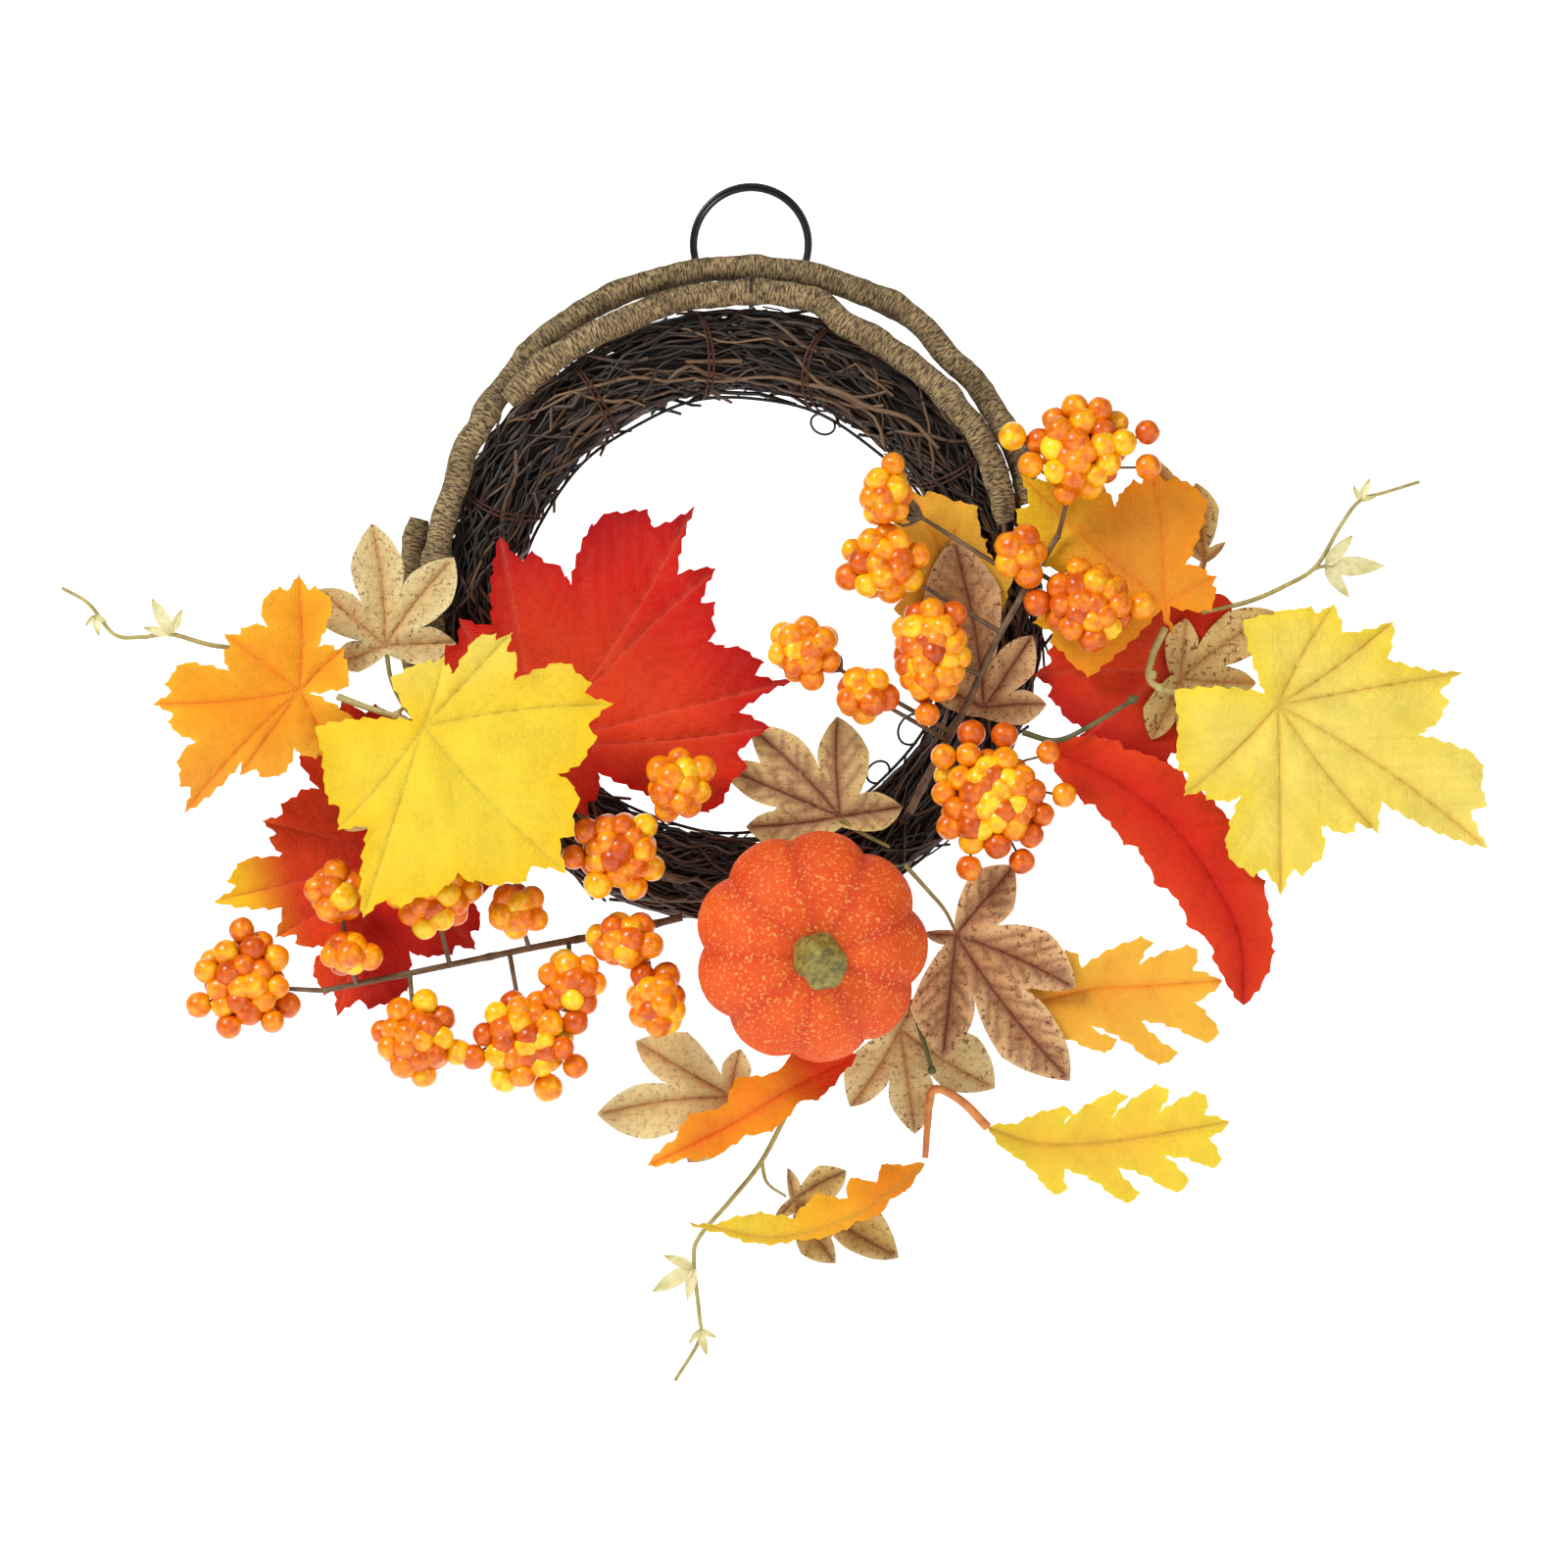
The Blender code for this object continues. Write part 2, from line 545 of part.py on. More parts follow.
def cluster(data):
    """All of a cluster's berries joined with the knot of short stalks that carries them, as one solid."""
    centres = [seat(data.anchor, at, data.depth) for at, _, _ in data.groups]
    home = centres[0]
    form = bmesh.new()
    knot = bmesh.new()
    for group, centre in enumerate(centres):
        _, size, count = data.groups[group]
        for berry in berry_places(centre, size, count):
            spot = Matrix.Translation((berry - home) * MM) @ Matrix.Rotation(berry.x + berry.z, 4, "Z")
            bmesh.ops.create_icosphere(form, subdivisions=1, radius=1.06 * BERRY / 2 * MM, matrix=spot)
        if group:
            rod(knot, centres[group - 1] - home, centre - home, 3.4)
        room = 0.70 * BERRY
        ellipsoid(knot, centre - home, (size[0] - room, CLUSTER_DEPTH - room, size[1] - room), 1)
    tool = new_mesh_object(data.name + "_knot", knot)
    tool.hide_render = True
    tool.display_type = "WIRE"
    cutters.objects.link(tool)
    tool.location = (home + WREATH_CENTRE) * MM
    obj = finish(new_mesh_object(data.name, form), home, swing, berry_skin)
    join = obj.modifiers.new("join", "BOOLEAN")
    join.operation = "UNION"
    join.object = tool
    join.use_self = True


def rod(form, start, end, thickness):
    along = end - start
    turn = along.to_track_quat("Z", "Y").to_matrix().to_4x4()
    place = Matrix.Translation((start + end) / 2 * MM) @ turn
    bmesh.ops.create_cone(
        form, cap_ends=True, segments=5, radius1=thickness / 2 * MM, radius2=thickness / 2 * MM,
        depth=along.length * MM, matrix=place,
    )


# Stems


def stem(name, anchor, path, thickness, parent, look, steps=3):
    """A stem through (x, z, depth) points measured from a place on the ring."""
    points = smooth_through([seat(anchor, (x, z), depth) for x, z, depth in path], steps)
    last = len(points) - 1
    wire(name, points, thickness, parent, look, taper=[1 - 0.35 * k / last for k in range(last + 1)])


def berry_stems():
    brown = material("berry_stem", (0.16, 0.10, 0.04), 0.7)
    stem("berry_stem_left", LOW_LEFT,
         [(36, -31, 2.5), (15, -36, 4), (-13, -41, 4), (-42, -47, 4), (-71, -53, 4), (-96, -58, 2)],
         SPRAY_STEM, swing, brown)
    stem("berry_stem_right", RIGHT,
         [(-31, -47, 2.5), (-22, -29, 13), (-10, -7, 15), (-1, 13, 15), (12, 36, 15.5), (23, 54, 15.5)],
         SPRAY_STEM, swing, brown)
    stem("berry_stem_upper_left", LOW_LEFT, [(-6, 14, 2.4), (5, 0, 2.4), (19, -11, 2.4), (36, -18, 2.4)],
         SPRAY_STEM, swing, brown)


def leaf_stems(fork_left, fork_right, fork_oak):
    green = material("leaf_stem_green", (0.05, 0.09, 0.02), 0.6)
    tan = material("leaf_stalk", (0.38, 0.29, 0.08), 0.6)
    stem("right_leaf_stem", RIGHT, [(10, -18, 13), (22, -21, 14.5), (34, -16, 16), (52, -5, 17)],
         LEAF_STALK, swing, green)
    stem("oak_leaf_stem", LOW, [(42, -46, 3.5), (46, -60, 5), (50, -73, 5)], LEAF_STALK, swing, green)
    stem("left_leaf_fork", LEFT, [(-53, 3, 28), (-42, -1, 33), (-32, -4, 37), (-26, -6, 40)],
         LEAF_STALK, fork_left, tan)
    stem("right_leaf_fork", RIGHT, [(62, 20, 14), (57, 9, 17), (57, 0, 18.5), (70, -4, 19.5), (86, -2, 20)],
         LEAF_STALK, fork_right, tan)
    stem("oak_leaf_fork", LOW, [(67, -91, 3), (58, -83, 5), (50, -79, 6), (48, -91, 6.5), (48, -102, 8)],
         LEAF_STALK, fork_oak, material("oak_stalk", (0.50, 0.16, 0.04), 0.6))


def tendrils(left, right, lower, look):
    stem("tendril_left", LEFT, [(-81, 20, 13), (-100, 22, 13), (-115, 26, 12), (-126, 25, 12),
                                (-136, 26, 12), (-145, 37, 13), (-155, 43, 13)], TENDRIL, left, look, 2)
    stem("tendril_right", RIGHT, [(76, 26, 5), (93, 30, 5), (107, 36, 5), (118, 43, 6), (127, 58, 6),
                                  (134, 67, 6), (143, 70, 6), (156, 74, 6)], TENDRIL, right, look, 2)
    stem("tendril_lower", LOW, [(-2, -85, -7.5), (-13, -106, -8), (-24, -120, -8), (-36, -134, -8),
                                (-38, -143, -8), (-36, -163, -8), (-36, -172, -8), (-45, -187, -7)],
         TENDRIL, lower, look, 2)


clear_scene()
parts = new_collection("harvest_door_wreath")
cutters = new_collection("cutters")
empties = {}
black_wire = material("black_wire", (0.01, 0.01, 0.01), 0.35, 0.8)
rust_wire = material("rust_wire", (0.12, 0.03, 0.02), 0.6, 0.5)
twig = material("twig", (0.035, 0.02, 0.012), 0.85)
vine_bark = material("vine_bark", (0.36, 0.24, 0.11), 0.9)
berry_skin = material("berry_skin", (0.80, 0.26, 0.02), 0.35)
tendril_look = material("tendril", (0.36, 0.30, 0.08), 0.6)
leaf_looks = {
    colour: material(name, colour, 0.55)
    for name, colour in (("orange", ORANGE), ("yellow", YELLOW), ("red", RED), ("tan", TAN), ("brown", BROWN))
}

ring_root = empty("ring_root", (0, RING_STEP_BACK, PIVOT_HEIGHT))
swing = empty("wreath_swing", (RING_OFF_CENTRE, RING_STEP_BACK, PIVOT_HEIGHT))
left_turn = empty("left_pair_turn", seat(LEFT, (-32, -4), 30), swing)
right_turn = empty("right_pair_turn", seat(RIGHT, (57, -1), 18), swing)
oak_turn = empty("oak_pair_turn", seat(LOW, (50, -79), 6), swing)
tendril_left_bend = empty("tendril_left_bend", seat(LEFT, (-83, 21), 13), swing)
tendril_right_bend = empty("tendril_right_bend", seat(RIGHT, (77, 26), 5), swing)
tendril_lower_bend = empty("tendril_lower_bend", seat(LOW, (-2, -85), -7), swing)

hanging_ring()
ring_tie()
twig_bundle()
bindings()
vines()
pumpkin()
pumpkin_stem()
berry_stems()
for data in CLUSTERS:
    cluster(data)
leaf_stems(left_turn, right_turn, oak_turn)
tendrils(tendril_left_bend, tendril_right_bend, tendril_lower_bend, tendril_look)
CARRIERS = {
    "maple_leaf_orange_left": left_turn,
    "maple_leaf_yellow_left": left_turn,
    "maple_leaf_orange_right": right_turn,
    "maple_leaf_yellow_right": right_turn,
    "oak_leaf_yellow": oak_turn,
    "oak_leaf_curled": oak_turn,
    "ivy_leaf_on_tendril": tendril_lower_bend,
}
for leaf in LEAVES:
    lobed_leaf(leaf, CARRIERS.get(leaf.name, swing), leaf_looks)
for leaf in RIB_LEAVES:
    rib_leaf(leaf, CARRIERS.get(leaf.name, swing), leaf_looks)
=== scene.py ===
import math
import random

import bmesh
import bpy
import numpy as np
from mathutils import Matrix, Vector, noise
from mathutils.geometry import delaunay_2d_cdt


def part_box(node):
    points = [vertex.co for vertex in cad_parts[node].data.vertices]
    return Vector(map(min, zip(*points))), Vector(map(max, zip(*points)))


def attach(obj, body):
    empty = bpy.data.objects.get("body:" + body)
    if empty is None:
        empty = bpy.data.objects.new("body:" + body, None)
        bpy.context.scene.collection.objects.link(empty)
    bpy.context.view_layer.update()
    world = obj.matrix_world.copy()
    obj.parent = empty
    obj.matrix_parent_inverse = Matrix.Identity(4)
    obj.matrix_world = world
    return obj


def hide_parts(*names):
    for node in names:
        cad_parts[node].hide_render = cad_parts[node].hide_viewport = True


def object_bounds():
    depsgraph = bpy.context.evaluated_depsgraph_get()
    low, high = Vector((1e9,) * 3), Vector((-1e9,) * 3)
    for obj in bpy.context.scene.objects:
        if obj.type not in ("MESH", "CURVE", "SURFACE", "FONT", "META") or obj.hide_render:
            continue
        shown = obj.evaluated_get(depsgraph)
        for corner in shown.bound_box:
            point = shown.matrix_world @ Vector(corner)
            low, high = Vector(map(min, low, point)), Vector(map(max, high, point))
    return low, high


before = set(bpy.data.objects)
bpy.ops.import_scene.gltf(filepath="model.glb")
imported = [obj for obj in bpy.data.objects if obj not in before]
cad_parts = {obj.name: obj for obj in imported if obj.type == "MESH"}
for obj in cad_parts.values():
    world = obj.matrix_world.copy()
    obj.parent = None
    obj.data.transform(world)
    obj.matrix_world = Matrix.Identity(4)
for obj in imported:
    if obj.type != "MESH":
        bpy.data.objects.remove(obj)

built_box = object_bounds()


# The stand: a pale paper sweep well behind the wreath, two soft lamps on it and one on the paper, and
# a camera straight in front. The wreath hangs free, so nothing touches the paper.

MM = 0.001
VIEW_WIDTH = 576 * MM
VIEW_DEPTH = -30 * MM
VIEW_OFFSET = Vector((3.1, 0, -2.2)) * MM
LENS = 150
SENSOR = 36
lowest, highest = built_box
view_middle = (lowest + highest) / 2 + VIEW_OFFSET
view_middle.y = VIEW_DEPTH

camera = bpy.data.objects.new("camera", bpy.data.cameras.new("camera"))
camera.data.lens = LENS
camera.data.sensor_width = SENSOR
camera.location = view_middle - Vector((0, VIEW_WIDTH * LENS / SENSOR, 0))
camera.rotation_euler = (math.radians(90), 0, 0)
bpy.context.scene.collection.objects.link(camera)
bpy.context.scene.camera = camera
bpy.context.scene.view_settings.view_transform = "Standard"


def tint(red, green, blue):
    """A paint colour given in 8-bit steps, as the linear colour that a shader takes."""
    steps = [value / 255 for value in (red, green, blue)]
    return (*(s / 12.92 if s < 0.04 else ((s + 0.055) / 1.055) ** 2.4 for s in steps), 1)


def fill(look, socket, value):
    """Gives a shader socket a value of its own, or another node's output."""
    if isinstance(value, bpy.types.NodeSocket):
        look.node_tree.links.new(value, socket)
    else:
        socket.default_value = value


def node(look, kind, **parts):
    """Adds a shader node: parts in small letters are its settings, and the others are its sockets."""
    made = look.node_tree.nodes.new("ShaderNode" + kind)
    if kind.startswith("Tex") and "Vector" not in parts:
        place = look.node_tree.nodes.new("ShaderNodeTexCoord")
        look.node_tree.links.new(place.outputs["Object"], made.inputs["Vector"])
    for name, value in parts.items():
        if name.islower():
            setattr(made, name, value)
        else:
            fill(look, made.inputs[int(name[1:]) if name[1:].isdigit() else name.replace("_", " ")], value)
    return made


def finish_look(look, **finish):
    """Fills the sockets of a material's one Principled shader."""
    shader = look.node_tree.nodes["Principled BSDF"]
    for name, value in finish.items():
        fill(look, shader.inputs[name.replace("_", " ")], value)


def new_look(name, roughness, metallic=0.0, **finish):
    """A material with the values that are the same all over it."""
    look = bpy.data.materials.new(name)
    look.use_nodes = True
    finish_look(look, Roughness=roughness, Metallic=metallic, **finish)
    return look


def mottle(look, scale, detail, roughness=0.5):
    """Cloudy patches, as a value from 0 to 1."""
    return node(look, "TexNoise", Scale=scale, Detail=detail, Roughness=roughness).outputs["Fac"]


def blend(look, share, first, second):
    """A colour that goes over from the first to the second as the share goes from 0 to 1."""
    return node(look, "Mix", data_type="RGBA", Factor=share, A=first, B=second).outputs["Result"]


paper = new_look("paper_sweep", 0.9, Emission_Color=(1, 1, 1, 1), Emission_Strength=0.50)
paper_grain = mottle(paper, 60.0, 3.0)
finish_look(paper, Base_Color=blend(paper, paper_grain, tint(247, 247, 246), tint(250, 250, 250)))

SWEEP_FLOOR, SWEEP_WALL, SWEEP_BEND, SWEEP_HALF = -0.75, 3.0, 0.6, 3.5
sweep_form = bmesh.new()
sweep_profile = [(-3.0, SWEEP_FLOOR), (SWEEP_WALL - SWEEP_BEND, SWEEP_FLOOR)]
for k in range(1, 8):
    turn = k * math.pi / 16
    sweep_profile.append((SWEEP_WALL - SWEEP_BEND * (1 - math.sin(turn)),
                          SWEEP_FLOOR + SWEEP_BEND * (1 - math.cos(turn))))
sweep_profile += [(SWEEP_WALL, SWEEP_FLOOR + SWEEP_BEND), (SWEEP_WALL, 3.5)]
left_side = [sweep_form.verts.new((-SWEEP_HALF, y, z)) for y, z in sweep_profile]
right_side = [sweep_form.verts.new((SWEEP_HALF, y, z)) for y, z in sweep_profile]
for k in range(len(sweep_profile) - 1):
    sweep_form.faces.new((left_side[k], right_side[k], right_side[k + 1], left_side[k + 1]))
sweep_mesh = bpy.data.meshes.new("paper_sweep")
sweep_form.to_mesh(sweep_mesh)
sweep_mesh.shade_smooth()
sweep_mesh.materials.append(paper)
backdrop = bpy.data.objects.new("paper_sweep", sweep_mesh)
bpy.context.scene.collection.objects.link(backdrop)

for name, place, size, power, aim in (
    ("lamp_left", (-1.1, -1.3, 1.1), 0.7, 33, view_middle),
    ("lamp_right", (1.2, -1.5, 0.25), 1.2, 9, view_middle),
    ("lamp_over_paper", (0.0, 1.2, 1.5), 2.0, 20, Vector((0, SWEEP_WALL, 0))),
):
    lamp = bpy.data.lights.new(name, "AREA")
    lamp.energy = power
    lamp.size = size
    stand = bpy.data.objects.new(name, lamp)
    stand.location = place
    stand.rotation_euler = (aim - Vector(place)).to_track_quat("-Z", "Y").to_euler()
    bpy.context.scene.collection.objects.link(stand)

world = bpy.data.worlds.new("room_light")
bpy.context.scene.world = world
world.use_nodes = True
world.node_tree.nodes["Background"].inputs["Color"].default_value = (1, 1, 1, 1)
world.node_tree.nodes["Background"].inputs["Strength"].default_value = 0.27


# Hanging ring: two turns of black enamelled steel wire, wound side by side and tied to the inner
# vine with a twist of thinner wire. A nail or hook goes through it.

RING_WIRE = 1.6
ring_low, ring_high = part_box("hanging_ring")
ring_middle = (ring_low + ring_high) / 2
ring_radius = (ring_high.x - ring_low.x) / 2 / MM - RING_WIRE / 2


def fade(look, value, begin, end, low=0.0, high=1.0):
    """A value that goes from low to high as the given one goes from begin to end."""
    return node(look, "MapRange", Value=value, From_Min=begin, From_Max=end, To_Min=low,
                To_Max=high).outputs["Result"]


def skin(look, height, strength, depth):
    """A fine relief of a depth in metres."""
    return node(look, "Bump", Height=height, Strength=strength, Distance=depth).outputs["Normal"]


black_wire = new_look("black_enamelled_wire", 0.3, 0.6, Base_Color=tint(28, 28, 30), Coat_Weight=0.4)
wire_scuffs = mottle(black_wire, 700.0, 4.0)
finish_look(black_wire, Roughness=fade(black_wire, wire_scuffs, 0.0, 1.0, 0.22, 0.5),
            Normal=skin(black_wire, wire_scuffs, 0.15, 0.0003))


def grain_layer(form):
    """Per point: millimetres along the length, share of a turn round it, and a tone of its own."""
    return form.verts.layers.float_vector.get("grain") or form.verts.layers.float_vector.new("grain")


def rod(form, points, radii, sides, tone=0.5, closed=False):
    """Adds a round rod through points in millimetres to a mesh being made."""
    layer = grain_layer(form)
    points = [Vector(p) for p in points]
    count = len(points)
    if not hasattr(radii, "__len__"):
        radii = [radii] * count
    rings = []
    length = 0.0
    side = None
    for index, point in enumerate(points):
        after = points[(index + 1) % count] if closed or index < count - 1 else point
        before = points[index - 1] if closed or index else point
        along = (after - before).normalized()
        side = (side or along.orthogonal()) - along * along.dot(side or along.orthogonal())
        side.normalize()
        across = along.cross(side)
        if index:
            length += (point - points[index - 1]).length
        ring = []
        for k in range(sides):
            turn = 2 * math.pi * k / sides
            spot = point + (side * math.cos(turn) + across * math.sin(turn)) * radii[index]
            corner = form.verts.new(spot * MM)
            corner[layer] = (length, k / sides, tone)
            ring.append(corner)
        rings.append(ring)
    pairs = list(zip(rings, rings[1:]))
    if closed:
        twist = min(range(sides), key=lambda k: (rings[0][k].co - rings[-1][0].co).length)
        pairs.append((rings[-1], rings[0][twist:] + rings[0][:twist]))
    for near, far in pairs:
        for k in range(sides):
            form.faces.new((near[k - 1], near[k], far[k], far[k - 1]))
    if not closed:
        form.faces.new(reversed(rings[0]))
        form.faces.new(rings[-1])
    return rings


def add_piece(name, form, look, slot, body, *nodes, crease=50):
    """Makes a smooth piece of what was formed; it rides on a body and stands for the named nodes."""
    bmesh.ops.recalc_face_normals(form, faces=form.faces)
    mesh = bpy.data.meshes.new(name)
    form.to_mesh(mesh)
    form.free()
    mesh.shade_smooth()
    mesh.set_sharp_from_angle(angle=math.radians(crease))
    mesh.materials.append(look)
    piece = bpy.data.objects.new(name, mesh)
    bpy.context.scene.collection.objects.link(piece)
    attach(piece, body)
    if nodes:
        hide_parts(*nodes)


RING_STEPS = 124
RING_START = math.radians(273)
RING_TURNED = 4 * math.pi * 0.985
RING_INNER_TURN = 2.2
RING_SPREAD = 3.8
RING_DROP = 0.8
ring_form = bmesh.new()
ring_points = []
for k in range(RING_STEPS + 1):
    turned = k / RING_STEPS
    angle = RING_START + RING_TURNED * turned
    radius = ring_radius - RING_INNER_TURN + RING_INNER_TURN * turned
    ring_points.append(ring_middle / MM + Vector((
        radius * math.cos(angle), RING_SPREAD * (turned - 0.5) * 0.5,
        radius * math.sin(angle) - RING_DROP * (1 - turned))))
rod(ring_form, ring_points, RING_WIRE / 2 * 1.12, 12)
add_piece("hanging_ring_wire", ring_form, black_wire, "black_wire", "hanging_ring", "hanging_ring")

tie_low, tie_high = (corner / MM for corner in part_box("ring_tie"))
tie_middle = (tie_low + tie_high) / 2
tie_half = (tie_high - tie_low) / 2 - Vector((0, 0.45, 0.45))
tie_form = bmesh.new()
tie_points = []
for k in range(2 * 40):
    angle = 2 * math.pi * k / 40
    bend = 0.78 + 0.22 * abs(math.cos(angle)) ** 0.5
    tie_points.append(tie_middle + Vector((
        0.6 * math.cos(angle / 2),
        tie_half.y * math.copysign(abs(math.cos(angle)) ** 0.8, math.cos(angle)),
        tie_half.z * bend * math.sin(angle) - 0.12 * tie_half.y * math.cos(angle))))
rod(tie_form, tie_points, 0.4, 8, closed=True)
add_piece("ring_tie_wire", tie_form, black_wire, "black_wire", "wreath", "ring_tie")


# Twig base: some hundreds of thin dark twigs, bent green round a wire hoop and bound into a ring as
# thick as a broom handle. The bark is near black with worn brown streaks, and loose ends stick out.

bundle_low, bundle_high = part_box("twig_bundle")
wreath_middle = (bundle_low + bundle_high) / 2
bundle_half = (bundle_high.y - bundle_low.y) / 2 / MM
bundle_radius = (bundle_high.x - bundle_low.x) / 2 / MM - bundle_half
TWIGS = 900
STRAY_TWIGS = 170
TWIG_STEP = 5.5


def written(look, layer):
    """What a mesh layer holds at each point, as three values."""
    marks = node(look, "Attribute", attribute_name=layer)
    return node(look, "SeparateXYZ", Vector=marks.outputs["Vector"]).outputs


def maths(look, operation, first, second):
    return node(look, "Math", operation=operation, _0=first, _1=second).outputs["Value"]


def shades(look, value, *stops):
    """Colours by a value from 0 to 1: the first two stops are the ends, and others go between them."""
    ramp = node(look, "ValToRGB", Fac=value)
    marks = ramp.color_ramp.elements
    for number, (place, colour) in enumerate(stops):
        mark = marks[number] if number < 2 else marks.new(place)
        mark.position, mark.color = place, colour
    return ramp.outputs["Color"]


twig_bark = new_look("twig_bark", 0.45)
twig_streaks = mottle(twig_bark, 420.0, 5.0, 0.65)
twig_wear = maths(twig_bark, "MULTIPLY", twig_streaks, 0.42)
twig_tone = maths(twig_bark, "ADD", written(twig_bark, "grain")["Z"], twig_wear)
twig_colour = shades(twig_bark, twig_tone,
                     (0.18, tint(24, 17, 13)), (0.95, tint(122, 92, 64)), (0.55, tint(52, 37, 27)))
finish_look(twig_bark, Base_Color=twig_colour, Normal=skin(twig_bark, twig_streaks, 0.6, 0.0004))


def in_bundle(angle, turn, reach):
    """A point in the bundle, by its angle on the ring and its turn and reach from the bundle's middle."""
    outward = bundle_radius + reach * math.cos(turn)
    return wreath_middle / MM + Vector((
        outward * math.cos(angle), reach * math.sin(turn), outward * math.sin(angle)))


twig_form = bmesh.new()
pick = random.Random(11)
for number in range(TWIGS):
    start = pick.uniform(0, 2 * math.pi)
    span = pick.uniform(0.35, 1.2)
    turn = pick.uniform(0, 2 * math.pi)
    drift = pick.gauss(0, 1.5)
    deep = bundle_half * (1 - 0.34 * pick.random() ** 1.4) - 0.5
    thick = pick.uniform(0.5, 1.1)
    flare = pick.choice((0, 0, 0.6, 1.6, 3.0))
    steps = max(5, round(span * bundle_radius / TWIG_STEP))
    twig_points = []
    for k in range(steps + 1):
        t = k / steps
        sway = noise.noise(Vector((number * 3.7, t * 5, 0)))
        kink = noise.noise(Vector((number * 1.3, t * 11, 4)))
        lifted = flare * max(0, abs(2 * t - 1) - 0.75) * 4
        twig_points.append(in_bundle(
            start + span * t, turn + drift * (t - 0.5) + 0.5 * sway, deep + 1.5 * kink + lifted))
    taper = [thick * (0.55 + 0.45 * math.sin(math.pi * min(1, (k / steps) * 1.4 + 0.12)))
             for k in range(steps + 1)]
    rod(twig_form, twig_points, taper, 6, pick.random() ** 1.6 * 0.75)
for number in range(STRAY_TWIGS):
    start = pick.uniform(0, 2 * math.pi)
    turn = pick.choice((math.pi, math.pi, 0)) + pick.gauss(0, 0.8)
    reach = pick.uniform(1, 8)
    way = pick.choice((-1, 1))
    curl = pick.uniform(-1.2, 1.2)
    twig_points = []
    for k in range(7):
        t = k / 6
        twig_points.append(in_bundle(
            start + way * 0.22 * t, turn + curl * t * t, bundle_half - 3.0 + reach * t * t))
    rod(twig_form, twig_points, [0.95 - 0.35 * k / 6 for k in range(7)], 6, pick.uniform(0.1, 0.7))
add_piece("bundle_twigs", twig_form, twig_bark, "twig", "wreath", "twig_bundle", crease=80)

# The core: a near-black tube inside the bundle, painted shade that stands for the shadowed twigs seen through
# the gaps.
core_shadow_paint = new_look("bundle_shadow_twigs", 0.95)
core_shadow_lines = mottle(core_shadow_paint, 260.0, 4.0)
finish_look(core_shadow_paint, Base_Color=shades(core_shadow_paint, core_shadow_lines, (0.0, tint(14, 9, 7)), (1.0, tint(40, 27, 19))))
core_form = bmesh.new()
CORE_RINGS = 90
core_points = [in_bundle(2 * math.pi * k / CORE_RINGS, 0, 0) for k in range(CORE_RINGS)]
rod(core_form, core_points, bundle_half * 0.62, 20, closed=True)
for corner in core_form.verts:
    away = noise.noise(corner.co * 180)
    outward = corner.co - wreath_middle
    corner.co += outward.normalized() * away * 2.2 * MM
add_piece("bundle_shadow_core", core_form, core_shadow_paint, "twig", "wreath")


# Frame wire and bindings: a black hoop along the bundle's inner edge with a few loose loops of the
# same wire, and five rust-brown wires drawn tight round hoop and twigs.

FRAME_WIRE = 1.6
hoop_low, hoop_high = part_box("frame_wire")
hoop_radius = (hoop_high.x - hoop_low.x) / 2 / MM - FRAME_WIRE / 2
hoop_form = bmesh.new()
hoop_points = []
HOOP_STEPS = 150
for k in range(HOOP_STEPS):
    angle = 2 * math.pi * k / HOOP_STEPS
    sway = 0.5 * math.sin(5 * angle) + 0.4 * math.sin(11 * angle + 1)
    hoop_points.append(wreath_middle / MM + Vector((
        (hoop_radius + 1.6 + sway) * math.cos(angle), 1.2 * math.sin(3 * angle),
        (hoop_radius + 1.6 + sway) * math.sin(angle))))
rod(hoop_form, hoop_points, FRAME_WIRE / 2 * 0.8, 10, closed=True)
for angle_degrees, size in ((66, 4.6), (-33, 6.0), (-48, 4.6)):
    angle = math.radians(angle_degrees)
    outward = Vector((math.cos(angle), 0, math.sin(angle)))
    sideways = Vector((-outward.z, 0, outward.x))
    base = wreath_middle / MM + outward * (hoop_radius + 1) - Vector((0, 2, 0))
    loop_points = []
    for k in range(25):
        turned = math.radians(-60 + 300 * k / 24)
        loop_points.append(base - outward * size * (0.5 + math.sin(turned) * 0.8)
                           + sideways * size * math.cos(turned) + Vector((0, 0.12 * k - 1.5, 0)))
    rod(hoop_form, loop_points, 0.5, 8)
add_piece("frame_hoop", hoop_form, black_wire, "black_wire", "wreath", "frame_wire")

rust_wire = new_look("rust_brown_wire", 0.6, 0.35)
rust_spots = mottle(rust_wire, 900.0, 4.0)
finish_look(rust_wire,
            Base_Color=shades(rust_wire, rust_spots, (0.0, tint(48, 24, 18)), (1.0, tint(104, 56, 36))))
for number in range(1, 6):
    low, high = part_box(f"binding_wire_{number}")
    away = (low + high) / 2 - wreath_middle
    angle = math.atan2(away.z, away.x)
    bind_form = bmesh.new()
    lean = 0.10 * math.sin(2.3 * number)
    bind_points = []
    for k in range(96):
        turn = 4 * math.pi * k / 96
        rise = noise.noise(Vector((number, 2 * math.cos(turn), 2 * math.sin(turn))))
        reach = bundle_half + 0.3 + 0.7 * rise
        slant = lean * math.sin(turn) + 0.012 * math.sin(turn / 2)
        bind_points.append(in_bundle(angle + slant, turn, reach + 0.4 * math.sin(turn / 2)))
    rod(bind_form, bind_points, 0.42, 7, closed=True)
    add_piece(f"binding_{number}", bind_form, rust_wire, "rust_wire", "wreath", f"binding_wire_{number}")


# Vines: three lengths of real vine as thick as a finger, laid over the bundle's edge and wired
# down. The bark is tan, cracked all round in short dark rings, with swellings where buds were.

VINE = 9.4
VINE_SIDES = 26
BINDING_ROOM = 2.3
vine_reach = bundle_half + BINDING_ROOM + VINE / 2 + 0.9
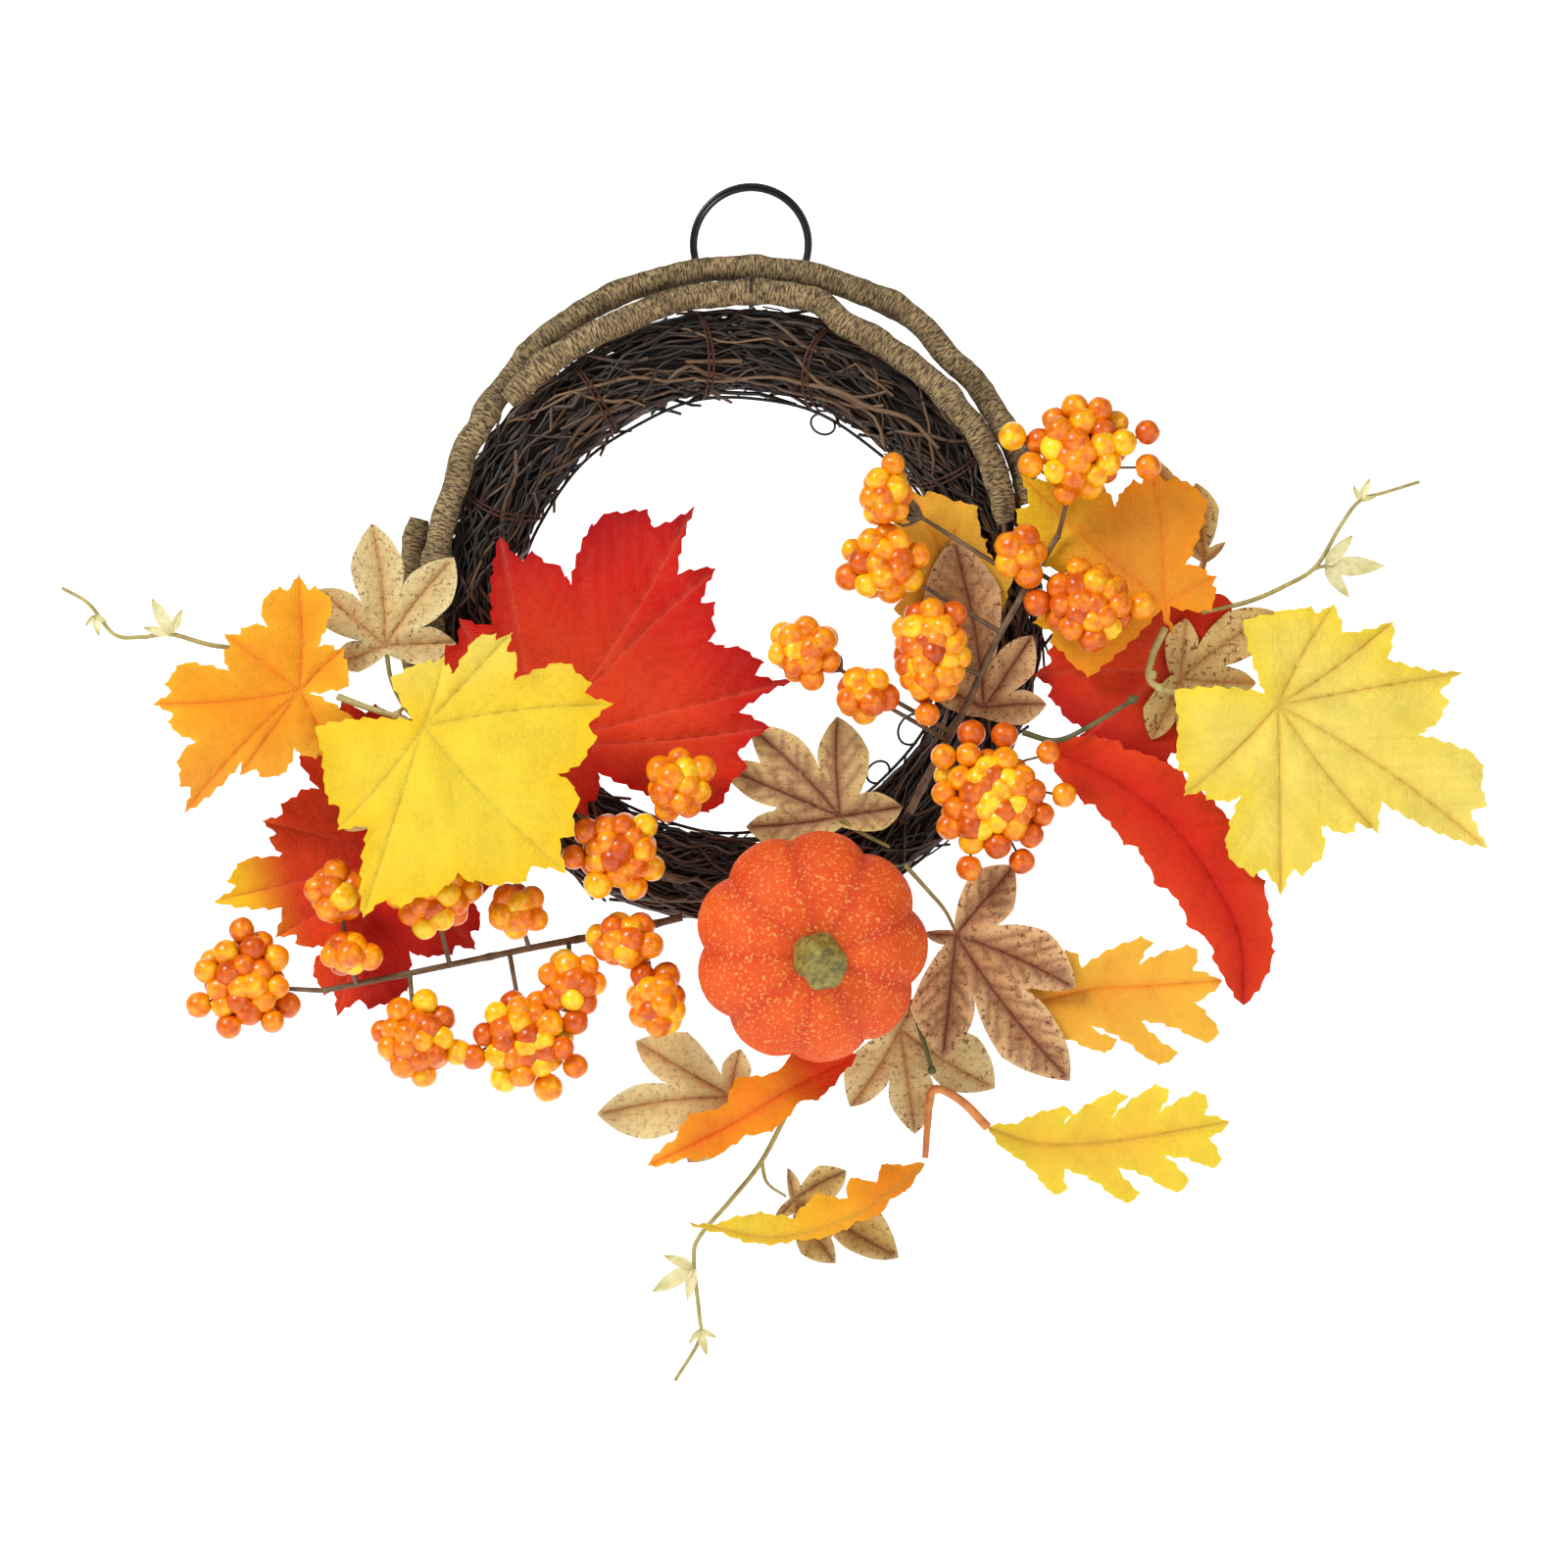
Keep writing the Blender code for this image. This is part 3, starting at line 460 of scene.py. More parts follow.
# Each vine is given by the angle round the ring, and by how far its middle lies outside the bundle's
# edge there, in vine thicknesses.
OUTER_VINE = [(196, -0.11), (180, -0.11), (168, -0.05), (156, 0.05), (146, 0.37), (137, 0.80),
              (122, 1.22), (105, 1.54), (90, 1.60), (75, 1.65), (60, 1.49), (48, 1.06), (38, 0.80),
              (30, 0.64), (21, 0.11)]
INNER_VINE = [(137, 0.21), (128, 0.27), (115, 0.27), (100, 0.43), (87, 0.64), (77, 0.64), (69, 0.11),
              (58, -0.16), (48, -0.16), (40, -0.32), (33, -0.43), (26, -0.69), (19, -1.01)]
SIDE_VINE = [(198, 0.64), (186, 0.74), (174, 0.90), (163, 0.96)]

vine_bark = new_look("vine_bark", 0.85)
bark_grain = node(vine_bark, "Attribute", attribute_name="grain")
bark_stretch = node(vine_bark, "Mapping", Vector=bark_grain.outputs["Vector"], Scale=(0.8, 4.0, 1.0))
bark_cracks = node(vine_bark, "TexNoise", Vector=bark_stretch.outputs["Vector"], Scale=2.1, Detail=6.0,
                   Roughness=0.72)
crack_line = shades(vine_bark, bark_cracks.outputs["Fac"], (0.42, (0, 0, 0, 1)), (0.50, (1, 1, 1, 1)))
bark_tone = shades(vine_bark, mottle(vine_bark, 75.0, 5.0, 0.6),
                   (0.3, tint(126, 104, 68)), (0.7, tint(182, 156, 110)))
bark_fine = maths(vine_bark, "MULTIPLY", mottle(vine_bark, 900.0, 4.0), 0.25)
bark_relief = maths(vine_bark, "ADD", crack_line, bark_fine)
finish_look(vine_bark, Base_Color=blend(vine_bark, crack_line, tint(74, 57, 37), bark_tone),
            Normal=skin(vine_bark, bark_relief, 0.9, 0.0006))


def beyond_edge(profile, angle):
    """How far a vine's middle lies outside the bundle's edge, eased between the given angles."""
    for (a, first), (b, second) in zip(profile, profile[1:]):
        if b <= angle <= a:
            t = (a - angle) / (a - b)
            return first + (second - first) * (3 * t * t - 2 * t * t * t)
    return profile[-1][1]


for name, profile, front in (
    ("outer_vine", OUTER_VINE, 2), ("inner_vine", INNER_VINE, 11), ("side_vine", SIDE_VINE, 3),
):
    vine_form = bmesh.new()
    first, last = profile[0][0], profile[-1][0]
    steps = round((first - last) * 1.7)
    path, thick = [], []
    for k in range(steps + 1):
        degrees = first + (last - first) * k / steps
        outward = bundle_half + beyond_edge(profile, degrees) * VINE
        proud = math.sqrt(max(vine_reach**2 - outward**2, front**2))
        angle = math.radians(degrees)
        wander = 1.5 * noise.noise(Vector((k * 0.055, front, 0)))
        path.append(wreath_middle / MM + Vector((
            (bundle_radius + outward + wander) * math.cos(angle),
            -proud + 0.6 * noise.noise(Vector((k * 0.05, 9, front))),
            (bundle_radius + outward + wander) * math.sin(angle))))
        swelling = 0.30 * max(0, noise.noise(Vector((k * 0.10, front, 5))))
        swelling += 0.05 * noise.noise(Vector((k * 0.4, front, 8)))
        end_taper = min(1, 0.72 + 0.28 * min(k, steps - k) / 6)
        thick.append(VINE / 2 * (1.0 + swelling) * end_taper)
    rings = rod(vine_form, path, thick, VINE_SIDES)
    for k, ring in enumerate(rings):
        middle = Vector(path[k]) * MM
        for index, corner in enumerate(ring):
            away = corner.co - middle
            turn = 2 * math.pi * index / VINE_SIDES
            round_it = Vector((k * 0.55, 3 * math.cos(turn), 3 * math.sin(turn)))
            ridge = 0.05 * noise.noise(round_it * 0.9) + 0.11 * noise.noise(round_it * 0.22)
            corner.co = middle + away * (1 + ridge)
    add_piece(name + "_bark", vine_form, vine_bark, "vine_bark", "wreath", name, crease=75)


# Berry sprays: two long moulded stems and a short one, wired to the bundle, with short stalks that
# each end in a foam berry. The berries are painted yellow to deep orange, mottled and glossy.

BERRY = 9.6
SPRAY_STEM = 3.0
face = bundle_half + BINDING_ROOM + 0.5
LEFT, LOW_LEFT, LOW, RIGHT = 200, 235, 283, 345


def seat(anchor, at, depth):
    """A point in front of the bundle, measured in millimetres from a place on the ring."""
    turn = math.radians(anchor)
    return wreath_middle / MM + Vector((
        bundle_radius * math.cos(turn) + at[0], -face - depth, bundle_radius * math.sin(turn) + at[1]))


def eased(points, steps):
    """Points on a smooth curve through the given ones."""
    points = [Vector(p) for p in points]
    ends = [2 * points[0] - points[1], *points, 2 * points[-1] - points[-2]]
    line = []
    for index in range(1, len(ends) - 2):
        a, b, c, d = ends[index - 1 : index + 3]
        for step in range(steps):
            t = step / steps
            line.append(0.5 * ((2 * b) + (c - a) * t + (2 * a - 5 * b + 4 * c - d) * t * t
                               + (3 * b - a - 3 * c + d) * t * t * t))
    return line + [points[-1]]


def route_line(anchor, route, steps):
    """A smooth curve along a route of places and depths, measured from a place on the ring."""
    return eased([seat(anchor, (x, z), depth) for x, z, depth in route], steps)


def moulded(name, dark, light):
    """Matt moulded plastic, mottled between two shades, with a faint grain."""
    look = new_look(name, 0.55)
    colour = shades(look, mottle(look, 190.0, 5.0, 0.65), (0.32, dark), (0.68, light))
    finish_look(look, Base_Color=colour, Normal=skin(look, mottle(look, 1400.0, 3.0), 0.35, 0.0003))
    return look


stem_brown = moulded("spray_stem_plastic", tint(72, 52, 34), tint(128, 100, 66))
SPRAYS = [
    ("berry_stem_left", LOW_LEFT,
     [(36, -31, 2.5), (15, -36, 4), (-13, -41, 4), (-42, -47, 4), (-71, -53, 4), (-96, -58, 2)]),
    ("berry_stem_right", RIGHT,
     [(-31, -47, 2.5), (-22, -29, 13), (-10, -7, 15), (-1, 13, 15), (12, 36, 15.5), (23, 54, 15.5)]),
    ("berry_stem_upper_left", LOW_LEFT, [(-6, 14, 2.4), (5, 0, 2.4), (19, -11, 2.4), (36, -18, 2.4)]),
]
spray_lines = {}
for name, anchor, route in SPRAYS:
    line = route_line(anchor, route, 8)
    spray_lines[name] = line
    last = len(line) - 1
    knuckles = [SPRAY_STEM / 2 * (1 - 0.3 * k / last) * (1.22 if k % 9 == 4 else 1.0)
                for k in range(last + 1)]
    stem_form = bmesh.new()
    rod(stem_form, line, knuckles, 12)
    add_piece(name + "_moulded", stem_form, stem_brown, "berry_stem", "wreath", name)

# Each cluster has one or more balls of berries, given by place, width and height, and berry count.
CLUSTERS = [
    ("berries_far_left", LOW_LEFT, 11, "berry_stem_left", [((-124, -56), (49, 56), 35)]),
    ("berries_left_upper", LOW_LEFT, 16, "berry_stem_left",
     [((-90, -22), (24, 32), 13), ((-86, -44), (26, 18), 11)]),
    ("berries_left_middle", LOW_LEFT, 18, "berry_stem_left",
     [((-55, -22), (43, 37), 28), ((-24, -28), (26, 22), 11)]),
    ("berries_left_lower", LOW_LEFT, 17, "berry_stem_left", [((-61, -76), (40, 42), 28)]),
    ("berries_low_middle", LOW_LEFT, 16, "berry_stem_left",
     [((-21, -76), (50, 50), 41), ((-4, -55), (30, 32), 16)]),
    ("berries_beside_pumpkin", LOW, 18, "berry_stem_left",
     [((-63, -24), (38, 22), 16), ((-51, -46), (25, 42), 18)]),
    ("berries_on_red_leaf", LOW_LEFT, 23, "berry_stem_upper_left",
     [((12, -6), (40, 42), 28), ((35, 18), (28, 34), 18)]),
    ("berries_top_right", RIGHT, 28, "berry_stem_right", [((30, 84), (62, 46), 38)]),
    ("berries_right_upper", RIGHT, 28, "berry_stem_right",
     [((9, 47), (22, 27), 10), ((34, 28), (50, 36), 30)]),
    ("berries_centre_tall", RIGHT, 28, "berry_stem_right",
     [((-40, 68), (22, 36), 13), ((-40, 43), (40, 34), 23), ((-24, 10), (34, 60), 46)]),
    ("berries_centre_low", RIGHT, 30, "berry_stem_right",
     [((-70, 12), (34, 32), 19), ((-48, -4), (27, 24), 13)]),
    ("berries_right_lower", RIGHT, 28, "berry_stem_right", [((-1, -42), (60, 62), 70)]),
]
CLUSTER_DEPTH = 21

berry_paint = new_look("berry_paint", 0.32, Coat_Weight=0.4, Specular_IOR_Level=0.3, Coat_Roughness=0.15)
berry_marks = written(berry_paint, "grain")
berry_shift = fade(berry_paint, mottle(berry_paint, 260.0, 4.0, 0.6), 0.3, 0.7, -0.24, 0.24)
berry_colour = shades(berry_paint, maths(berry_paint, "ADD", berry_marks["Z"], berry_shift),
                      (0.0, tint(182, 62, 0)), (1.0, tint(252, 216, 34)), (0.35, tint(220, 98, 0)),
                      (0.6, tint(242, 142, 2)), (0.82, tint(250, 184, 10)))
berry_specks = node(berry_paint, "TexVoronoi", Scale=1150.0)
speck_size = fade(berry_paint, berry_specks.outputs["Distance"], 0.16, 0.26, 1.0, 0.0)
speck_amount = maths(berry_paint, "MULTIPLY", speck_size, fade(berry_paint, berry_marks["Y"], 0.55, 0.95))
finish_look(berry_paint, Base_Color=blend(berry_paint, speck_amount, berry_colour, tint(120, 48, 14)),
            Normal=skin(berry_paint, mottle(berry_paint, 520.0, 3.0), 0.35, 0.0005))


def berry_spots(middle, size, count, chance):
    """Places for berries in a flattened ball, pushed apart until they hardly press on each other."""
    half = np.array([(size[0] - BERRY) / 2, (CLUSTER_DEPTH - BERRY) / 2, (size[1] - BERRY) / 2])
    radii = np.array([BERRY / 2 * chance.uniform(0.92, 1.14) for _ in range(count)])
    spots = np.array([[chance.gauss(0, 0.5) for _ in range(3)] for _ in range(count)]) * half
    limits = np.array([chance.uniform(0.72, 1.06) for _ in range(count)])
    room = radii[:, None] + radii
    for _ in range(90):
        apart = spots[:, None] - spots
        gap = np.sqrt((apart**2).sum(2)) + 1000 * np.eye(count)
        push = 0.4 * np.clip(room - gap, 0, None) / gap
        spots += (apart * push[..., None]).sum(1)
        spots /= np.maximum(np.sqrt(((spots / half) ** 2).sum(1)) / limits, 1)[:, None]
    return [(middle + Vector(spot), radius) for spot, radius in zip(spots.tolist(), radii)]


ball = bmesh.new()
bmesh.ops.create_uvsphere(ball, u_segments=20, v_segments=13, radius=1)
BALL_CORNERS = [corner.co.copy() for corner in ball.verts]
BALL_FACES = [[corner.index for corner in face.verts] for face in ball.faces]
ball.free()


def add_berry(form, spot, radius, stalk_way, tone, speckled):
    """A slightly uneven ball with a small dimple where its stalk goes in."""
    layer = grain_layer(form)
    turn = stalk_way.to_track_quat("Z", "Y").to_matrix()
    corners = []
    for way in BALL_CORNERS:
        dimple = 1 - 0.16 * max(0, way.z - 0.88) / 0.12 - 0.05 * max(0, -way.z - 0.9) / 0.1
        uneven = 1 + 0.035 * noise.noise(way * 1.5 + spot * 0.7)
        corner = form.verts.new((turn @ way * radius * dimple * uneven + spot) * MM)
        corner[layer] = (0, speckled, tone)
        corners.append(corner)
    for face in BALL_FACES:
        form.faces.new([corners[k] for k in face])


for name, anchor, depth, stem_name, groups in CLUSTERS:
    chance = random.Random(name)
    berry_form = bmesh.new()
    stalk_form = bmesh.new()
    for at, size, count in groups:
        middle = seat(anchor, at, depth)
        root = min(spray_lines[stem_name], key=lambda point: (point - middle).length)
        hub = middle + (root - middle) * 0.25
        rod(stalk_form, eased([root, (root + hub) / 2 + Vector((0, -1.5, 0)), hub, middle], 5),
            [1.0 - 0.02 * k for k in range(16)], 7)
        for spot, radius in berry_spots(middle, size, count, chance):
            way = spot - hub
            tone = chance.choice((0.26, 0.42, 0.5, 0.58, 0.66, 0.82)) + chance.gauss(0, 0.07)
            stalk_way = -way if way.length > 1 else Vector((0, 1, 0))
            add_berry(berry_form, spot, radius, stalk_way, min(1, max(0, tone)), chance.random())
            bend = (hub + spot) / 2 + Vector((chance.gauss(0, 1.5), chance.gauss(0, 1), chance.gauss(0, 1.5)))
            rod(stalk_form, eased([hub, bend, spot - way.normalized() * radius * 0.7], 3),
                [0.75, 0.7, 0.6, 0.55, 0.5, 0.5, 0.5], 6)
    add_piece(name + "_painted", berry_form, berry_paint, "berry_skin", "wreath", name, crease=80)
    add_piece(name + "_stalks", stalk_form, stem_brown, "berry_stem", "wreath")


# Leaves: printed cloth, pressed warm so that the veins stand in it, with a cut edge and a wire
# glued along the back. There are broad maple leaves, narrow ivy leaves and long oak leaves.

CLOTH = 0.5
PAINTS = {
    "amber": (247, 186, 62), "apricot": (243, 160, 52), "bark": (126, 72, 50), "brick": (188, 30, 24),
    "butter": (247, 222, 106), "caramel": (214, 158, 104), "crimson": (176, 12, 22),
    "flame": (228, 66, 26), "gold": (250, 204, 34), "lemon": (247, 216, 62), "marigold": (249, 178, 40),
    "ochre": (206, 158, 70), "olive": (196, 182, 84), "orange": (243, 148, 26), "peach": (230, 188, 136),
    "pink": (232, 112, 84), "plum": (112, 46, 36), "red": (208, 30, 18), "rust": (176, 104, 52),
    "sand": (238, 220, 162), "straw": (234, 208, 140), "tan": (224, 190, 122),
    "tangerine": (240, 128, 40), "wheat": (240, 220, 104),
}


def within(points, edge):
    """Which of the points lie inside a closed edge."""
    ends = np.roll(edge, -1, axis=0)
    crosses = (edge[:, 1] > points[:, None, 1]) != (ends[:, 1] > points[:, None, 1])
    rise = np.where(ends[:, 1] == edge[:, 1], 1e-9, ends[:, 1] - edge[:, 1])
    where = edge[:, 0] + (points[:, None, 1] - edge[:, 1]) * (ends[:, 0] - edge[:, 0]) / rise
    return (crosses & (points[:, None, 0] < where)).sum(1) % 2 == 1


def nearest(points, starts, ends):
    """Each point's distance to the nearest of the straight lines, and which one that is."""
    along = ends - starts
    reach = points[:, None, :] - starts
    share = np.clip((reach * along).sum(2) / np.maximum((along**2).sum(1), 1e-9), 0, 1)
    gaps = np.sqrt(((reach - share[..., None] * along) ** 2).sum(2))
    return gaps.min(1), gaps.argmin(1)


def runs(lines):
    """The starts and the ends of all the straight lines in some broken lines."""
    starts = np.concatenate([np.array(line)[:-1] for line in lines])
    ends = np.concatenate([np.array(line)[1:] for line in lines])
    return starts, ends


def arc(a, b, bulge, nick=0.0, step=1.6):
    """Points from a up to b on a shallow arc that bulges away from the leaf's heart, nicked by the die."""
    a, b = Vector(a), Vector(b)
    chord = b - a
    side = Vector((chord.y, -chord.x))
    if side.dot(a + b) < 0:
        side = -side
    count = max(2, round(chord.length / step))
    line = []
    for k in range(count):
        t = k / count
        cut = nick * ((k % 4) / 3 - 0.35) * min(1, k / 2, (count - k) / 2)
        line.append(tuple(a + chord * t + side * bulge * 4 * t * (1 - t) + side.normalized() * cut))
    return line


def lobed_edge(lobes, kind):
    """The cut edge of a maple or ivy leaf round its heart, from the angle and length of each lobe."""
    marks = []
    count = len(lobes)
    step = -1 if (lobes[1][0] - lobes[0][0] + 540) % 360 - 180 < 0 else 1
    shoulder, spread, deepest = (0.84, 22, 0.74) if kind == "maple" else (0.70, 26, 0.48)

    def mark(angle, radius, bulge):
        turn = math.radians(angle)
        marks.append((radius * math.cos(turn), radius * math.sin(turn), bulge))

    for index, (angle, length) in enumerate(lobes):
        after = lobes[(index + 1) % count]
        before = lobes[index - 1]
        gap_after = (step * (after[0] - angle)) % 360
        gap_before = (step * (angle - before[0])) % 360
        for gap, way in ((gap_before, -1), (gap_after, 1)):
            wide = min(spread, 0.40 * gap)
            big = length > 14 and gap > 26
            if way == 1:
                mark(angle, length, -0.05 if kind == "maple" else 0.10)
            if big and kind == "maple":
                rest = (gap / 2 - wide) / wide
                teeth = [(0.30, 0.86, -0.05), (0.48, 0.91, -0.12), (1.0, shoulder, -0.02),
                         (1 + 0.42 * rest, 0.79, -0.06), (1 + 0.5 * rest, 0.80, 0.03)]
                for far, reach, bulge in teeth if way == 1 else teeth[::-1]:
                    mark(angle + way * step * wide * far, reach * length, bulge)
            elif big:
                mark(angle + way * step * wide, shoulder * length, 0.07)
        shorter = min(length, after[1])
        depth = min(max((gap_after - 8) / 40, 0.15), 1)
        notch = deepest * depth + 0.9 * (1 - depth)
        mark(angle + step * gap_after / 2, (0.16 if gap_after > 95 else notch) * shorter, 0.05)
    edge = []
    for (x, z, bulge), (next_x, next_z, _) in zip(marks, marks[1:] + marks[:1]):
        edge += arc((x, z), (next_x, next_z), bulge, 1.1 if kind == "maple" else 0.0)
    return edge


def lobe_veins(lobes, edge):
    """A main vein to each lobe's tip, and side veins off it that stop short of the edge."""
    mains, sides = [], []
    for number, (angle, length) in enumerate(lobes):
        turn = math.radians(angle)
        way = Vector((math.cos(turn), math.sin(turn)))
        side = Vector((-way.y, way.x))
        bend = 0.03 * length * math.sin(2.1 * number + 1)
        mains.append([tuple(way * length * 0.97 * t + side * bend * math.sin(math.pi * t))
                      for t in (k / 24 for k in range(25))])
    main_starts, main_ends = runs(mains)
    owner = np.repeat(np.arange(len(mains)), 24)
    for number, (angle, length) in enumerate(lobes):
        if length < 20:
            continue
        turn = math.radians(angle)
        way = Vector((math.cos(turn), math.sin(turn)))
        for k in range(max(3, round(length / 9))):
            root = Vector(mains[number][min(23, 5 + round(19 * k / max(3, length / 9)))])
            for hand in (-1, 1):
                lean = math.radians(hand * 42)
                run = Matrix.Rotation(lean, 2) @ way
                spots = np.array([tuple(root + run * 1.5 * s + way * 0.012 * s * s) for s in range(26)])
                clear = within(spots, edge) & (nearest(spots, edge, np.roll(edge, -1, axis=0))[0] > 1.8)
                mine = owner[nearest(spots, main_starts, main_ends)[1]] == number
                good = clear & mine
                stop = len(good) if good[1:].all() else 1 + int(np.argmin(good[1:]))
                if stop > 4:
                    sides.append([tuple(p) for p in spots[:stop]])
    return mains, sides


def coloured(name):
    return np.array(tint(*PAINTS[name])[:3])


SAME_SPOT = 0.8
WEAVE_GRID = 2.7


def cloth_spots(name, edge, mains, sides):
    """Places for the cloth's corners: along the edge and the veins, and on an uneven grid between them."""
    spots = [tuple(p) for p in edge]
    taken = {(round(x / SAME_SPOT), round(z / SAME_SPOT)) for x, z in spots}
    wanted = []
    for line in mains:
        for (x, z), (next_x, next_z) in zip(line, line[1:]):
            length = math.hypot(next_x - x, next_z - z) or 1
            across = ((z - next_z) / length, (next_x - x) / length)
            for t in (0, 0.5) if length > 2 else (0,):
                middle = (x + (next_x - x) * t, z + (next_z - z) * t)
                wanted += [(middle[0] + across[0] * off, middle[1] + across[1] * off)
                           for off in (0, -0.9, 0.9)]
    for line in sides:
        wanted += line
    low, high = edge.min(0), edge.max(0)
    shift = random.Random(name)
    for column in range(int((high[0] - low[0]) / WEAVE_GRID) + 1):
        for row in range(int((high[1] - low[1]) / WEAVE_GRID) + 1):
            wanted.append((low[0] + WEAVE_GRID * column + shift.uniform(-0.6, 0.6),
                           low[1] + WEAVE_GRID * row + shift.uniform(-0.6, 0.6)))
    tried = np.array(wanted)
    fits = within(tried, edge) & (nearest(tried, edge, np.roll(edge, -1, axis=0))[0] > 0.7)
    for (x, z), good in zip(wanted, fits):
        cell = (round(x / SAME_SPOT), round(z / SAME_SPOT))
        if good and cell not in taken:
            taken.add(cell)
            spots.append((x, z))
    return spots


def painted(coat, at, near_edge, to_main, to_side):
    """The paint at each point: heart to rim, other colours towards some sides, then veins and stain."""
    paint = coloured(coat["heart"]) + (coloured(coat["rim"]) - coloured(coat["heart"])) * near_edge[:, None]
    for far, angle, begin, end in coat.get("far", ()):
        way = np.array([math.cos(math.radians(angle)), math.sin(math.radians(angle))])
        share = np.clip((at @ way - begin) / (end - begin), 0, 1)
        share = (share * share * (3 - 2 * share))[:, None]
        paint = paint * (1 - share) + coloured(far) * share
    main_ink = np.exp(-((to_main / 0.85) ** 2))
    side_ink = coat.get("net", 0.22) * np.exp(-((to_side / 0.6) ** 2))
    vein_show = (np.maximum(main_ink, side_ink) * coat.get("vein_show", 0.6))[:, None]
    stain = (coat.get("stain", 0) * np.exp(-to_main / 2.6))[:, None]
    paint = paint * (1 - stain) + coloured(coat["vein"]) * stain
    return paint * (1 - vein_show) + coloured(coat["vein"]) * vein_show


def add_leaf(name, origin, edge, mains, sides, lift, coat, slot, body):
    """Fills the edge with cloth that follows the veins, bends it, paints it and gives it a thickness."""
    edge = np.array(edge)
    spots = cloth_spots(name, edge, mains, sides)
    flat, _, faces, *_ = delaunay_2d_cdt([Vector(p) for p in spots], [], [list(range(len(edge)))], 1, 1e-5)
    at = np.array([tuple(p) for p in flat])
    to_edge = nearest(at, edge, np.roll(edge, -1, axis=0))[0]
    to_main = nearest(at, *runs(mains))[0]
    to_side = nearest(at, *runs(sides))[0] if sides else np.full(len(at), 99.0)
    vein = np.maximum(np.exp(-((to_main / 0.75) ** 2)), 0.55 * np.exp(-((to_side / 0.55) ** 2)))
    near_edge = np.exp(-to_edge / (0.09 * float(np.max(edge.max(0) - edge.min(0)))))
    paint = painted(coat, at, near_edge, to_main, to_side)
    form = bmesh.new()
    paint_layer = form.verts.layers.float_color.new("paint")
    leaf_layer = form.verts.layers.float_vector.new("leaf")
    fronts, backs = [], []
    for index, (x, z) in enumerate(at):
        seed = Vector((x / 17, z / 17, origin.x / 40))
        tone = 1 + 0.09 * noise.noise(seed * 1.3)
        wave = 2.4 * noise.noise(seed) * (1 - math.exp(-to_main[index] / 6))
        curl = 2.6 * math.exp(-to_edge[index] / 5) * noise.noise(seed * 1.9 + Vector((5, 0, 0)))
        pleat = 3.2 * (1 - math.exp(-to_main[index] / 7)) + 0.7 * (1 - math.exp(-to_side[index] / 2.2))
        y = lift(x, z) + coat.get("relief", 1.0) * (wave + curl - pleat) + 0.5 * vein[index]
        for depth, corners in ((-CLOTH / 2, fronts), (CLOTH / 2, backs)):
            corner = form.verts.new((origin + Vector((x, y + depth, z))) * MM)
            corner[paint_layer] = (*(float(c) * tone for c in paint[index]), 1)
            speckle = coat.get("speckle", 0) * (0.7 + 0.5 * float(near_edge[index]))
            corner[leaf_layer] = (float(vein[index]), speckle, float(to_edge[index]))
            corners.append(corner)
    for face in faces:
        form.faces.new([fronts[k] for k in face])
    rim = [edge_line for edge_line in form.edges if edge_line.is_boundary]
    twin = dict(zip(fronts, backs))
    for face in faces:
        form.faces.new([backs[k] for k in reversed(face)])
    for edge_line in rim:
        a, b = edge_line.verts
        form.faces.new((a, b, twin[b], twin[a]))
    add_piece(name + "_cloth", form, leaf_cloth, slot, body, name)


leaf_cloth = new_look("leaf_cloth", 0.55, Sheen_Weight=0.02, Specular_IOR_Level=0.14, Sheen_Roughness=0.4)
cloth_paint = node(leaf_cloth, "Attribute", attribute_name="paint")
cloth_shade = fade(leaf_cloth, mottle(leaf_cloth, 120.0, 6.0, 0.7), 0.3, 0.7, 0.94, 1.05)
fibre_shade = fade(leaf_cloth, mottle(leaf_cloth, 1500.0, 2.0), 0.0, 1.0, 0.90, 1.10)
cloth_colour = node(leaf_cloth, "VectorMath", operation="SCALE", _0=cloth_paint.outputs["Color"],
                    Scale=maths(leaf_cloth, "MULTIPLY", cloth_shade, fibre_shade))
speck_part = fade(leaf_cloth, mottle(leaf_cloth, 560.0, 5.0, 0.75), 0.55, 0.60)
speck_show = maths(leaf_cloth, "MULTIPLY", speck_part, written(leaf_cloth, "leaf")["Y"])
weave_across = node(leaf_cloth, "TexWave", Scale=560.0, Distortion=1.2, Detail=1.0)
weave_up = node(leaf_cloth, "TexWave", bands_direction="Z", Scale=560.0, Distortion=1.2, Detail=1.0)
weave = maths(leaf_cloth, "ADD", weave_across.outputs["Fac"], weave_up.outputs["Fac"])
vein_net = node(leaf_cloth, "TexVoronoi", feature="DISTANCE_TO_EDGE", Scale=230.0)
net_line = fade(leaf_cloth, vein_net.outputs["Distance"], 0.0, 0.12, 0.0, 1.6)
finish_look(leaf_cloth,
            Base_Color=blend(leaf_cloth, speck_show, cloth_colour.outputs["Vector"], tint(128, 66, 36)),
            Normal=skin(leaf_cloth, maths(leaf_cloth, "ADD", weave, net_line), 0.6, 0.0003))


# Maple and ivy leaves: die-cut cloth, pushed on a stalk at the leaf's heart and bowed a little by hand.
# Each leaf is given by its place and depth, its bow, and an angle and a length for each lobe in order.

